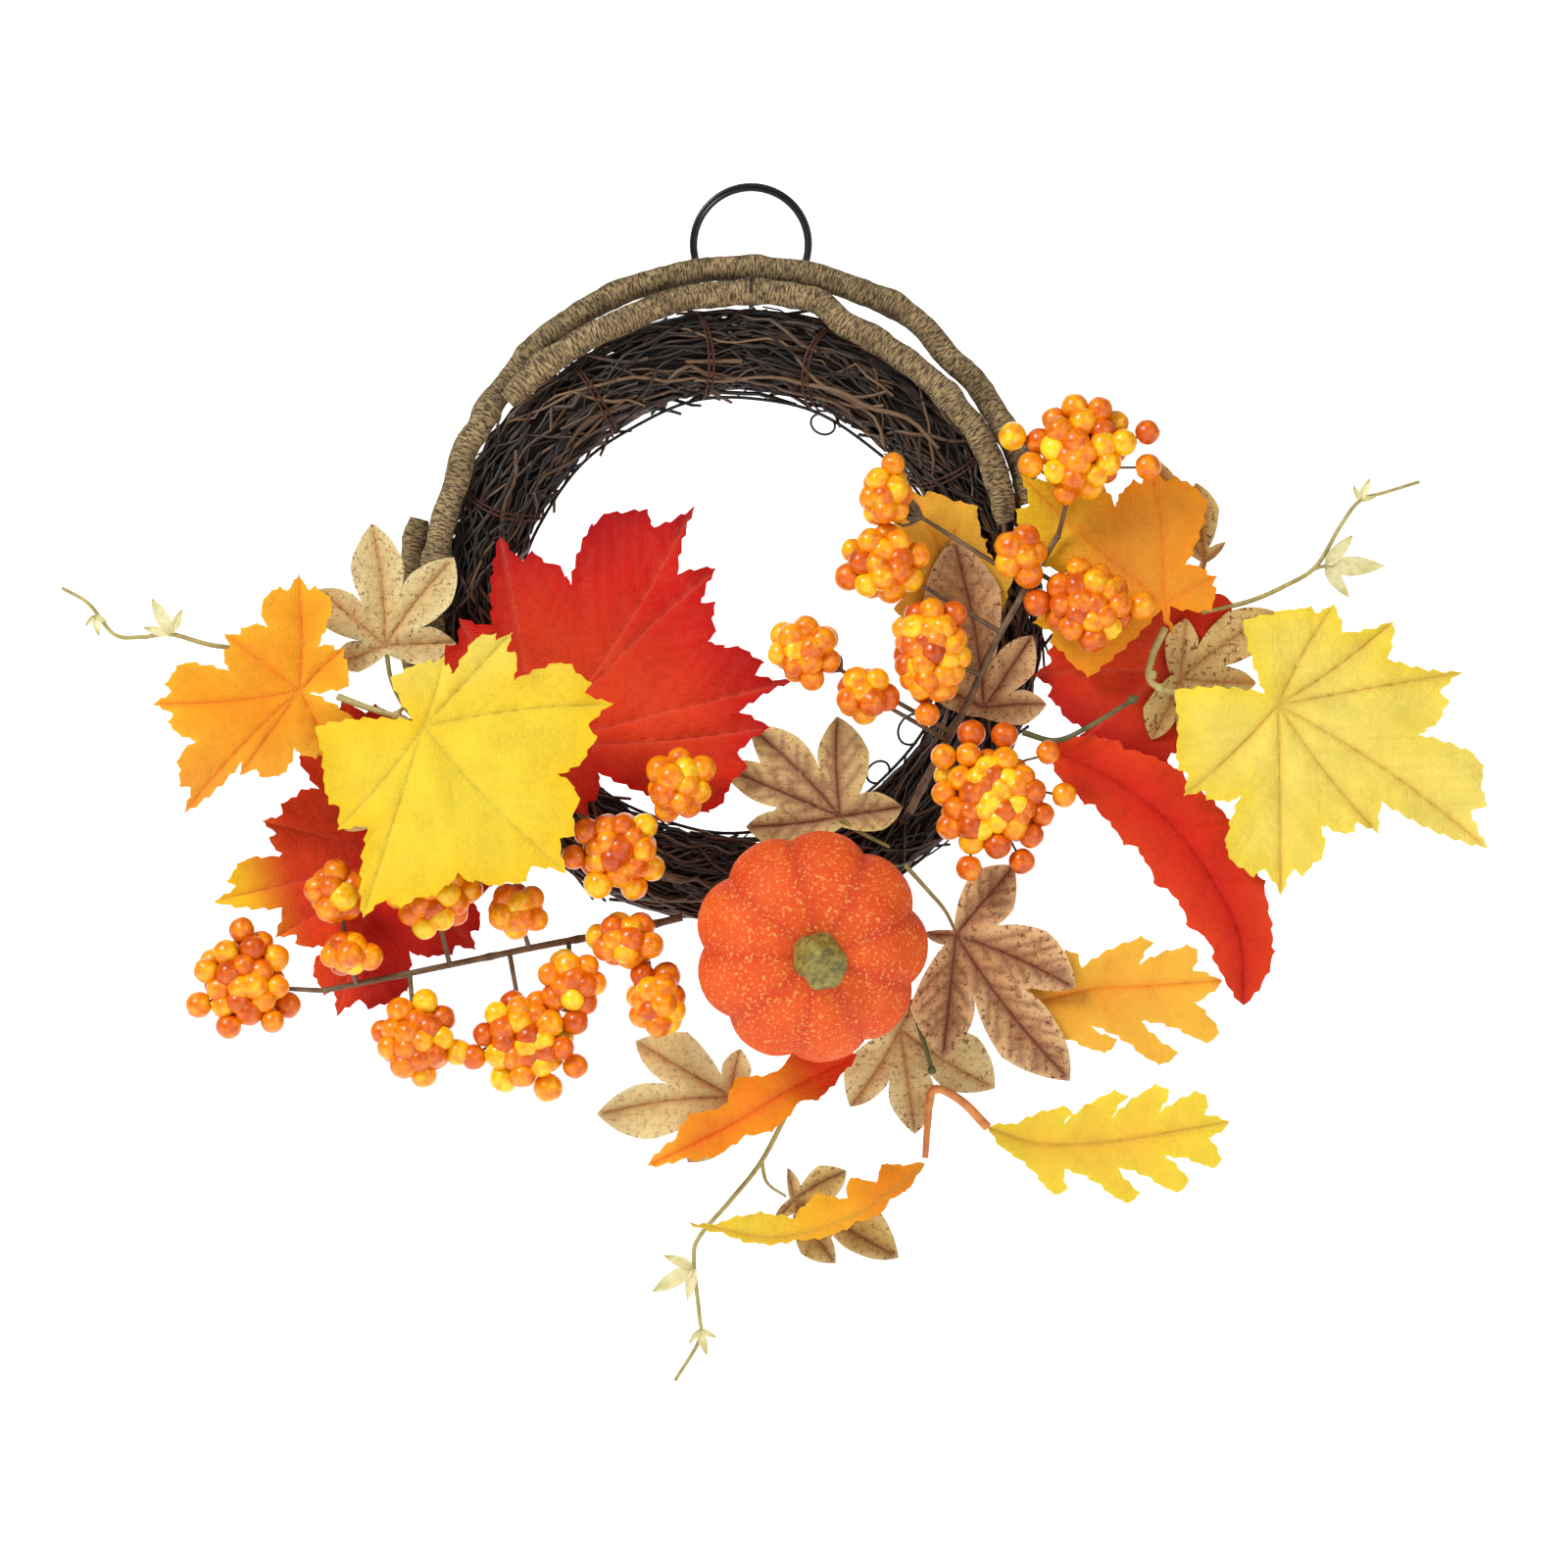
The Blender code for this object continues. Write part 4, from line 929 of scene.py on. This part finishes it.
LOBED = [
    ("maple_leaf_orange_left", "maple", LEFT, (-67, 5), 24, 5, "leaf_orange", "left_leaf_pair",
     [(-66, 28), (-126, 38), (-134, 62), (-175, 55), (143, 35), (91, 43), (44, 23)],
     {"heart": "orange", "rim": "marigold", "vein": "tangerine", "lean": 0.05,
      "far": [("apricot", -90, 10, 40)]}),
    ("maple_leaf_red_lower_left", "maple", LEFT, (-36, -57), -3, 4, "leaf_red", "wreath",
     [(-6, 43), (-46, 46), (-109, 61), (-146, 51), (-167, 67), (163, 50), (106, 64)],
     {"heart": "red", "rim": "brick", "vein": "pink", "vein_show": 0.3,
      "far": [("flame", 180, 4, 26), ("gold", 196, 34, 62)]}),
    ("maple_leaf_yellow_left", "maple", LEFT, (-21, -8), 41, 5, "leaf_yellow", "left_leaf_pair",
     [(-130, 49), (-108, 73), (-46, 74), (7, 69), (47, 47), (74, 27)],
     {"heart": "lemon", "rim": "gold", "vein": "olive", "vein_show": 0.35, "net": 0.12,
      "far": [("wheat", 100, 0, 40)]}),
    ("maple_leaf_red_centre", "maple", LEFT, (20, -14), 12, 2, "leaf_red", "wreath",
     [(123, 55), (101, 78), (57, 104), (45, 91), (14, 96), (4, 84), (-57, 32)],
     {"heart": "flame", "rim": "red", "vein": "pink", "vein_show": 0.35,
      "far": [("red", 60, 30, 70), ("crimson", 20, 62, 96), ("crimson", 105, 50, 80)]}),
    ("ivy_leaf_upper_left", "ivy", LEFT, (-37, 22), 7.5, -2, "leaf_tan", "wreath",
     [(-161, 20), (140, 32), (96, 45), (52, 41), (2, 26)],
     {"heart": "straw", "rim": "sand", "vein": "rust", "speckle": 0.7, "stain": 0.25}),
    ("ivy_leaf_behind_left", "ivy", LEFT, (-37, -28), 11, 0, "leaf_tan", "wreath",
     [(163, 19), (-129, 23), (-43, 25), (60, 22)],
     {"heart": "straw", "rim": "tan", "vein": "rust", "speckle": 0.8, "stain": 0.3}),
    ("ivy_leaf_above_pumpkin", "ivy", LOW, (16, 21), 3.5, -2, "leaf_brown", "wreath",
     [(-174, 35), (157, 48), (135, 47), (92, 37), (9, 23)],
     {"heart": "peach", "rim": "straw", "vein": "plum", "vein_show": 0.8, "net": 0.6, "speckle": 0.6,
      "stain": 0.6}),
    ("ivy_leaf_beside_pumpkin", "ivy", LOW, (58, -22), 15, 3, "leaf_brown", "wreath",
     [(176, 12), (-96, 45), (-52, 68), (-24, 48), (50, 33)],
     {"heart": "caramel", "rim": "peach", "vein": "plum", "vein_show": 0.8, "net": 0.7, "speckle": 0.9,
      "stain": 0.65}),
    ("ivy_leaf_on_tendril", "ivy", LOW, (-1, -120), -5, -2, "leaf_tan", "lower_tendril",
     [(29, 22), (-29, 44), (-57, 28), (-134, 11), (102, 12)],
     {"heart": "ochre", "rim": "straw", "vein": "bark", "speckle": 0.7, "stain": 0.5}),
    ("ivy_leaf_bottom_left", "ivy", LOW, (-24, -82), -3, -3, "leaf_tan", "wreath",
     [(80, 18), (150, 41), (-173, 50), (-124, 29)],
     {"heart": "straw", "rim": "sand", "vein": "rust", "speckle": 0.5, "stain": 0.4}),
    ("ivy_leaf_bottom_right", "ivy", LOW, (38, -57), -1, -2, "leaf_tan", "wreath",
     [(-123, 34), (-82, 39), (-32, 41), (60, 14)],
     {"heart": "straw", "rim": "sand", "vein": "rust", "speckle": 0.8, "stain": 0.3}),
    ("maple_leaf_orange_right", "maple", RIGHT, (62, 29), 12, 1, "leaf_orange", "right_leaf_pair",
     [(-73, 13), (28, 22), (96, 52), (138, 71), (-172, 49)],
     {"heart": "apricot", "rim": "orange", "vein": "tangerine", "relief": 0.35,
      "far": [("gold", 165, 20, 60)]}),
    ("maple_leaf_amber_right", "maple", RIGHT, (-18, 44), 4.5, 0, "leaf_orange", "wreath",
     [(-60, 32), (115, 30), (76, 24), (30, 18)],
     {"heart": "amber", "rim": "amber", "vein": "tangerine", "vein_show": 0.3}),
    ("ivy_leaf_rust_right", "ivy", RIGHT, (-4, -9), 8.5, 1, "leaf_brown", "wreath",
     [(3, 23), (56, 32), (100, 63), (150, 22)],
     {"heart": "caramel", "rim": "peach", "vein": "plum", "vein_show": 0.7, "net": 0.5, "speckle": 0.8,
      "stain": 0.45}),
    ("maple_leaf_red_right", "maple", RIGHT, (62, 4), 4, 0, "leaf_red", "wreath",
     [(-141, 24), (-141, 43), (-179, 48), (133, 45), (75, 11)],
     {"heart": "red", "rim": "flame", "vein": "pink", "vein_show": 0.3, "relief": 0.4,
      "far": [("brick", -120, 10, 34)]}),
    ("ivy_leaf_upper_right", "ivy", RIGHT, (77, 45), 0, -2, "leaf_tan", "wreath",
     [(116, 43), (96, 29), (41, 11), (-100, 8)],
     {"heart": "ochre", "rim": "straw", "vein": "rust", "speckle": 0.8, "stain": 0.3}),
    ("ivy_leaf_speckled_right", "ivy", RIGHT, (68, 2), 7, -1, "leaf_tan", "wreath",
     [(-115, 25), (-76, 31), (-4, 28), (34, 43), (84, 22)],
     {"heart": "straw", "rim": "tan", "vein": "rust", "speckle": 1.0, "stain": 0.45, "relief": 0.35}),
    ("maple_leaf_yellow_right", "maple", RIGHT, (103, -8), 21, 5, "leaf_yellow", "right_leaf_pair",
     [(-136, 48), (-89, 70), (-52, 60), (-34, 94), (10, 69), (36, 52), (61, 42)],
     {"heart": "butter", "rim": "lemon", "vein": "ochre", "vein_show": 0.55, "stain": 0.12, "net": 0.15,
      "far": [("butter", -40, 20, 80)]}),
]


def hang(lean, bow):
    """How far forward or back a leaf's cloth stands at a point."""
    return lambda x, z: -lean * x + bow * (x * x + z * z) / 3600


for name, kind, anchor, at, depth, bow, slot, body, lobes, coat in LOBED:
    edge = lobed_edge(lobes, kind)
    mains, sides = lobe_veins(lobes, np.array(edge))
    add_leaf(name, seat(anchor, at, depth), edge, mains, sides, hang(coat.get("lean", 0), bow), coat,
             slot, body)


# Oak leaves and the long red leaf: die-cut cloth with lobes on both sides of a curved midrib. Each is
# given by its midrib, its depth, its half widths, its lobes a side, its slope, and its notch's share.

RIBBED = [
    ("oak_leaf_orange", LOW, [(67, -53), (103, -43), (130, -41), (156, -39)], 8, 19, 29, 3, 0.0, 0.46,
     "leaf_orange", "wreath",
     {"heart": "apricot", "rim": "amber", "vein": "tangerine", "relief": 0.7,
      "far": [("amber", 10, -20, 30), ("butter", 0, 30, 60)]}),
    ("oak_leaf_yellow", LOW, [(70, -93), (88, -99), (108, -99), (125, -97), (142, -94), (159, -91)],
     2, 20, 23, 4, 0.0, 0.42, "leaf_yellow", "oak_leaf_pair",
     {"heart": "amber", "rim": "lemon", "vein": "ochre", "relief": 0.7, "far": [("lemon", 0, 0, 40)]}),
    ("oak_leaf_curled", LOW, [(47, -106), (35, -116), (21, -125), (-8, -133), (-41, -127)],
     8, 4, 13, 4, 0.9, 0.5, "leaf_yellow", "oak_leaf_pair",
     {"heart": "tangerine", "rim": "orange", "vein": "ochre", "relief": 0.7,
      "far": [("marigold", 195, -14, 6), ("lemon", 180, 8, 40)]}),
    ("oak_leaf_below_pumpkin", LOW, [(22, -66), (-1, -78), (-26, -93), (-55, -107)],
     6, 10, 14, 3, 0.3, 0.6, "leaf_orange", "wreath",
     {"heart": "tangerine", "rim": "orange", "vein": "flame", "relief": 0.7,
      "far": [("flame", 30, 20, 44), ("amber", 208, 10, 36)]}),
    ("maple_leaf_long_red", RIGHT, [(19, -24), (41, -34), (63, -50), (79, -71), (90, -94), (91, -118)],
     10, 19, 19, 5, 0.15, 0.86, "leaf_red", "wreath",
     {"heart": "red", "rim": "flame", "vein": "brick", "far": [("brick", -60, 30, 70)]}),
]

for name, anchor, path, depth, half_up, half_down, lobes, slope, notch, slot, body, coat in RIBBED:
    home = Vector(path[len(path) // 2])
    rib = [Vector((p.x, p.z)) for p in eased([(x - home.x, 0, z - home.y) for x, z in path], 12)]
    steps = 2 * lobes + 2
    rows = {}
    veins = []
    for side, half in ((1, half_up), (-1, half_down)):
        rows[side] = []
        for k in range(1, steps):
            t = k / steps
            index = min(int(t * (len(rib) - 1)), len(rib) - 2)
            along = (rib[index + 1] - rib[index]).normalized()
            across = Vector((-along.y, along.x)) * side
            width = half * math.sin(math.pi * (0.12 + 0.80 * t))
            spot = rib[index] + across * width * (1 if k % 2 == 0 else notch)
            if k % 2 == 0:
                tooth = along * width * 0.17
                forward = along * width * (0.5 if notch < 0.5 else 0.12)
                rows[side] += [(spot - tooth + forward - across * width * 0.10, -0.07),
                               (spot + forward, -0.10),
                               (spot + tooth * 1.5 + forward - across * width * 0.16, 0.06)]
                root = rib[max(0, index - round(len(rib) * 0.07))]
                bend = along * width * 0.06
                veins.append([tuple(root + (spot - root) * 0.92 * s / 12 + bend * math.sin(math.pi * s / 12))
                              for s in range(13)])
            else:
                rows[side].append((spot, 0.05))
    marks = [(rib[0], 0.06), *rows[1], (rib[-1], 0.06), *reversed(rows[-1])]
    edge = []
    for (spot, bulge), (after, _) in zip(marks, marks[1:] + marks[:1]):
        edge += arc(spot, after, bulge, 1.0)

    def turned(x, z, rib=rib, slope=slope):
        near = min(rib, key=lambda p: (p.x - x) ** 2 + (p.y - z) ** 2)
        return slope * (z - near.y)

    mains = [[tuple(p) for p in rib]]
    add_leaf(name, seat(anchor, home, depth), edge, mains, veins, turned, coat, slot, body)


# Leaf stalks: moulded plastic over wire, with a ring-shaped nub where a leaf is pushed on. The forks
# carry a pair of leaves each and turn a little in the nub; the others are glued into the bundle.

STALK = 2.4
green_stalk = moulded("dark_green_stalk", tint(58, 66, 32), tint(104, 104, 54))
tan_stalk = moulded("yellow_green_stalk", tint(150, 134, 74), tint(192, 176, 108))
oak_stalk = moulded("oak_stalk_plastic", tint(186, 104, 50), tint(232, 150, 78))


def stalk_run(form, anchor, route, half):
    """A tapering stalk along a route, from its half thickness at the root."""
    line = route_line(anchor, route, 7)
    last = len(line) - 1
    rod(form, line, [half * (1 - 0.35 * k / last) for k in range(last + 1)], 10)


def add_stalk(name, anchor, routes, thickness, look, slot, body, *nodes, nubs=()):
    """A stalk along each route, with its share of the thickness, and nubs at the given places."""
    form = bmesh.new()
    for route, share in routes:
        stalk_run(form, anchor, route, thickness / 2 * share)
    for (x, z, depth), along, size in nubs:
        way = Vector(along).normalized()
        steps = [(-0.7, 0.75), (-0.45, 1.0), (0, 1.12), (0.45, 1.0), (0.7, 0.75)]
        rod(form, [seat(anchor, (x, z), depth) + way * size * s for s, _ in steps],
            [size * 0.72 * r for _, r in steps], 12)
    add_piece(name, form, look, slot, body, *nodes)


add_stalk("right_leaf_stem_moulded", RIGHT,
          [([(10, -18, 13), (22, -21, 14.5), (34, -16, 16), (52, -5, 17)], 1.0)],
          STALK, green_stalk, "leaf_stem_green", "wreath", "right_leaf_stem",
          nubs=[((50, -6, 17), (18, 0, 11), 2.2)])
add_stalk("oak_leaf_stem_moulded", LOW,
          [([(42, -46, 3.5), (46, -60, 5), (50, -73, 5)], 1.0)],
          STALK, green_stalk, "leaf_stem_green", "wreath", "oak_leaf_stem",
          nubs=[((49.5, -72, 5), (4, 0, -13), 2.0)])
add_stalk("left_leaf_fork_moulded", LEFT,
          [([(-53, 3, 28), (-42, -1, 33), (-32, -4, 37), (-26, -6, 40)], 1.1),
           ([(-32, -4, 36), (-29, -1, 33), (-26, 4, 30)], 0.8)],
          STALK, tan_stalk, "leaf_stalk", "left_leaf_pair", "left_leaf_fork",
          nubs=[((-31, -4, 37), (10, -4, -3), 2.3)])
add_stalk("right_leaf_fork_moulded", RIGHT,
          [([(62, 20, 14), (57, 9, 17), (57, 0, 18.5), (70, -4, 19.5), (86, -2, 20), (103, -7, 20.5)], 1.25)],
          STALK, tan_stalk, "leaf_stalk", "right_leaf_pair", "right_leaf_fork",
          nubs=[((57, 3, 18.2), (0, 1, -8), 2.3), ((60, -2, 19), (10, 0, -4), 2.2)])
add_stalk("oak_leaf_fork_moulded", LOW,
          [([(70, -93, 3), (60, -83, 5), (50, -79, 6), (48, -91, 6.5), (47, -104, 8)], 1.5)],
          STALK, oak_stalk, "oak_stalk", "oak_leaf_pair", "oak_leaf_fork",
          nubs=[((51, -79, 6), (8, 0, 2), 2.2)])

IVY_STALK = STALK * 0.9 * 0.9
olive_stalk = moulded("olive_stalk", tint(112, 100, 48), tint(160, 148, 82))
ivy_form = bmesh.new()
for anchor, route in (
    (LEFT, [(-36.5, 19, 7.5), (-35, 10, 8), (-31, 1, 9), (-24, -8, 8)]),
    (LEFT, [(-38, -26, 11), (-36, -20, 10.5), (-31, -12, 9), (-24, -8, 8)]),
    (LEFT, [(24, -17, 10), (27, -25, 8), (26.6, -36, 5)]),
    (LOW, [(40, 3, 3), (47.6, -5.5, 9), (54, -13, 13), (58, -21, 15)]),
    (LOW, [(16, 20, 6), (24, 15, 4), (34, 10, 2)]),
):
    stalk_run(ivy_form, anchor, route, IVY_STALK / 2)
add_piece("ivy_stalks", ivy_form, olive_stalk, "leaf_stalk", "wreath")


# Tendrils: a thin wire in olive-yellow plastic, bent by hand into loose curves. Each has a bud of two
# folded leaflets near its end and one small open leaflet, moulded in the same plastic.

TENDRIL = 2.0
tendril_plastic = moulded("tendril_plastic", tint(142, 128, 66), tint(186, 172, 104))


def leaflet(form, root, heading, size):
    """Three small pointed blades from one root, cupped along their midribs."""
    for turn, share in ((0, 1.0), (52, 0.66), (-48, 0.7)):
        way = Matrix.Rotation(math.radians(turn), 3, "Y") @ Vector(heading).normalized()
        side = way.cross(Vector((0, 1, 0))).normalized()
        length = size * share
        sheets = []
        for depth in (-0.2, 0.25):
            rows = []
            for k in range(9):
                t = k / 8
                width = 0.17 * length * math.sin(math.pi * t**0.8) ** 0.8 if 0 < k < 8 else 0.05
                middle = root + way * length * t + Vector((0, depth - 1.2 * t * (1 - t), 0))
                rows.append([form.verts.new((middle + side * width * s - Vector((0, 0.8 * abs(s), 0))) * MM)
                             for s in (-1, -0.5, 0, 0.5, 1)])
            sheets.append(rows)
        front, back = sheets
        for near, far in [*zip(front, front[1:]), *zip(back, back[1:])]:
            for k in range(4):
                form.faces.new((near[k], near[k + 1], far[k + 1], far[k]))
        for k in range(8):
            for s in (0, 4):
                form.faces.new((front[k][s], front[k + 1][s], back[k + 1][s], back[k][s]))
        for k in range(4):
            form.faces.new((front[0][k + 1], front[0][k], back[0][k], back[0][k + 1]))
            form.faces.new((front[8][k], front[8][k + 1], back[8][k + 1], back[8][k]))


TENDRILS = [
    ("tendril_left", "left_tendril", LEFT,
     [(-81, 20, 13), (-100, 22, 13), (-115, 26, 12), (-126, 25, 12), (-136, 26, 12), (-145, 37, 13),
      (-155, 43, 13)],
     [((-115, 26, 12), (-7, 0, 13), 15), ((-143, 33, 12.5), (2, 0, -9), 8)], []),
    ("tendril_right", "right_tendril", RIGHT,
     [(76, 26, 5), (93, 30, 5), (107, 36, 5), (118, 43, 6), (127, 58, 6), (134, 67, 6), (143, 70, 6),
      (156, 74, 6)],
     [((121, 43, 6), (24, 0, 0), 22), ((134, 67, 6), (4, 0, 9), 9)],
     [[(117, 42, 6), (121, 43, 6), (128, 43, 6)]]),
    ("tendril_lower", "lower_tendril", LOW,
     [(-2, -85, -7.5), (-13, -106, -8), (-24, -120, -8), (-36, -134, -8), (-38, -143, -8), (-36, -163, -8),
      (-36, -172, -8), (-45, -187, -7)],
     [((-38, -145, -8), (-15, 0, -9), 18), ((-36, -168, -8), (3, 0, -10), 10)],
     [[(-13, -106, -8), (-11, -114, -7.5), (-4, -119, -6)]]),
]
for name, body, anchor, route, leaflets, branches in TENDRILS:
    add_stalk(name + "_moulded", anchor, [(route, 1.0), *((branch, 0.8) for branch in branches)],
              TENDRIL, tendril_plastic, "tendril", body, name)
    leaflet_form = bmesh.new()
    for root, heading, size in leaflets:
        leaflet(leaflet_form, seat(anchor, root[:2], root[2] + 0.5), heading, size)
    leaflet_look = moulded(name + "_leaflet_plastic", tint(196, 186, 122), tint(232, 224, 176))
    add_piece(name + "_leaflets", leaflet_form, leaflet_look, "tendril", body)


# Pumpkin: hard foam moulded with nine ribs and painted orange with a spatter of gold, and a green
# foam stem glued into the dimple. Its back rests on the bundle.

PUMPKIN = 85
PUMPKIN_DEEP = 62
RIBS = 9
pumpkin_turn = Matrix.Rotation(math.radians(97), 4, "X") @ Matrix.Rotation(math.radians(5), 4, "Y")
pumpkin_middle = seat(LOW, (5, -26), PUMPKIN_DEEP / 2 + 2.5)


def sunk(flat):
    """How far the top sinks in, by the distance from the axis as a share of the radius."""
    return 1 - 0.30 * (1 - flat) ** 2


pumpkin_form = bmesh.new()
rib_layer = grain_layer(pumpkin_form)
for corner in bmesh.ops.create_uvsphere(pumpkin_form, u_segments=24 * RIBS, v_segments=90, radius=1)["verts"]:
    turn = math.atan2(corner.co.y, corner.co.x)
    flat = math.hypot(corner.co.x, corner.co.y)
    groove = (1 - abs(math.cos(RIBS * turn / 2))) ** 1.3
    lump = noise.noise(corner.co * 2.2)
    rib = 1 - 0.085 * groove * flat + 0.012 * lump
    corner[rib_layer] = (groove, flat, 0.5 + 0.5 * lump)
    corner.co.x *= rib * PUMPKIN / 2 * MM
    corner.co.y *= rib * PUMPKIN / 2 * MM
    corner.co.z *= sunk(flat) * PUMPKIN_DEEP / 2 * MM
pumpkin_form.transform(Matrix.Translation(pumpkin_middle * MM) @ pumpkin_turn)

pumpkin_paint = new_look("pumpkin_paint", 0.62, Specular_IOR_Level=0.25)
pumpkin_tone = shades(pumpkin_paint, mottle(pumpkin_paint, 70.0, 6.0, 0.65),
                      (0.35, tint(216, 72, 20)), (0.65, tint(230, 92, 30)))
# The grooves are painted a darker red-orange by their depth: painted shade in the grooves.
groove_painted_shade = blend(pumpkin_paint, written(pumpkin_paint, "grain")["X"], pumpkin_tone, tint(206, 64, 26))
gold_show = fade(pumpkin_paint, mottle(pumpkin_paint, 820.0, 3.0, 0.6), 0.56, 0.66, 0.0, 0.75)
foam_pits = mottle(pumpkin_paint, 520.0, 5.0, 0.7)
finish_look(pumpkin_paint, Base_Color=blend(pumpkin_paint, gold_show, groove_painted_shade, tint(244, 176, 92)),
            Normal=skin(pumpkin_paint, foam_pits, 0.45, 0.0007))
add_piece("pumpkin_foam", pumpkin_form, pumpkin_paint, "pumpkin_foam", "wreath", "pumpkin", crease=80)

STEM_WIDE = 18
out = pumpkin_turn.to_3x3() @ Vector((0, 0, 1))
stem_flat = STEM_WIDE / PUMPKIN
stem_foot = pumpkin_middle + out * (sunk(stem_flat) * math.sqrt(1 - stem_flat**2) * PUMPKIN_DEEP / 2 - 2.5)
lean_out = Vector((0.16, 0, -0.24))
stem_form = bmesh.new()
stem_line = eased([stem_foot, stem_foot + out * 4, stem_foot + (out + lean_out * 0.4) * 10,
                   stem_foot + (out + lean_out) * 15.5], 7)
STEM_SIDES = 40
stem_radii = [9.6 - 1.2 * min(1, k / 7) - 1.2 * max(0, k - 18) / 3 for k in range(len(stem_line))]
for k, ring in enumerate(rod(stem_form, stem_line, stem_radii, STEM_SIDES)):
    middle = Vector(stem_line[k]) * MM
    for index, corner in enumerate(ring):
        ribbed = math.cos(5 * (2 * math.pi * index / STEM_SIDES + 0.05 * k))
        ridge = 1 + 0.07 * ribbed + 0.05 * noise.noise(corner.co * 400)
        corner.co = middle + (corner.co - middle) * ridge
stem_paint = new_look("pumpkin_stem_paint", 0.6)
stem_streaks = mottle(stem_paint, 300.0, 5.0, 0.7)
stem_tone = shades(stem_paint, stem_streaks, (0.38, tint(96, 84, 32)), (0.62, tint(158, 144, 64)))
finish_look(stem_paint, Base_Color=stem_tone, Normal=skin(stem_paint, stem_streaks, 0.6, 0.0006))
add_piece("pumpkin_stem_foam", stem_form, stem_paint, "stem_olive", "wreath", "pumpkin_stem", crease=60)
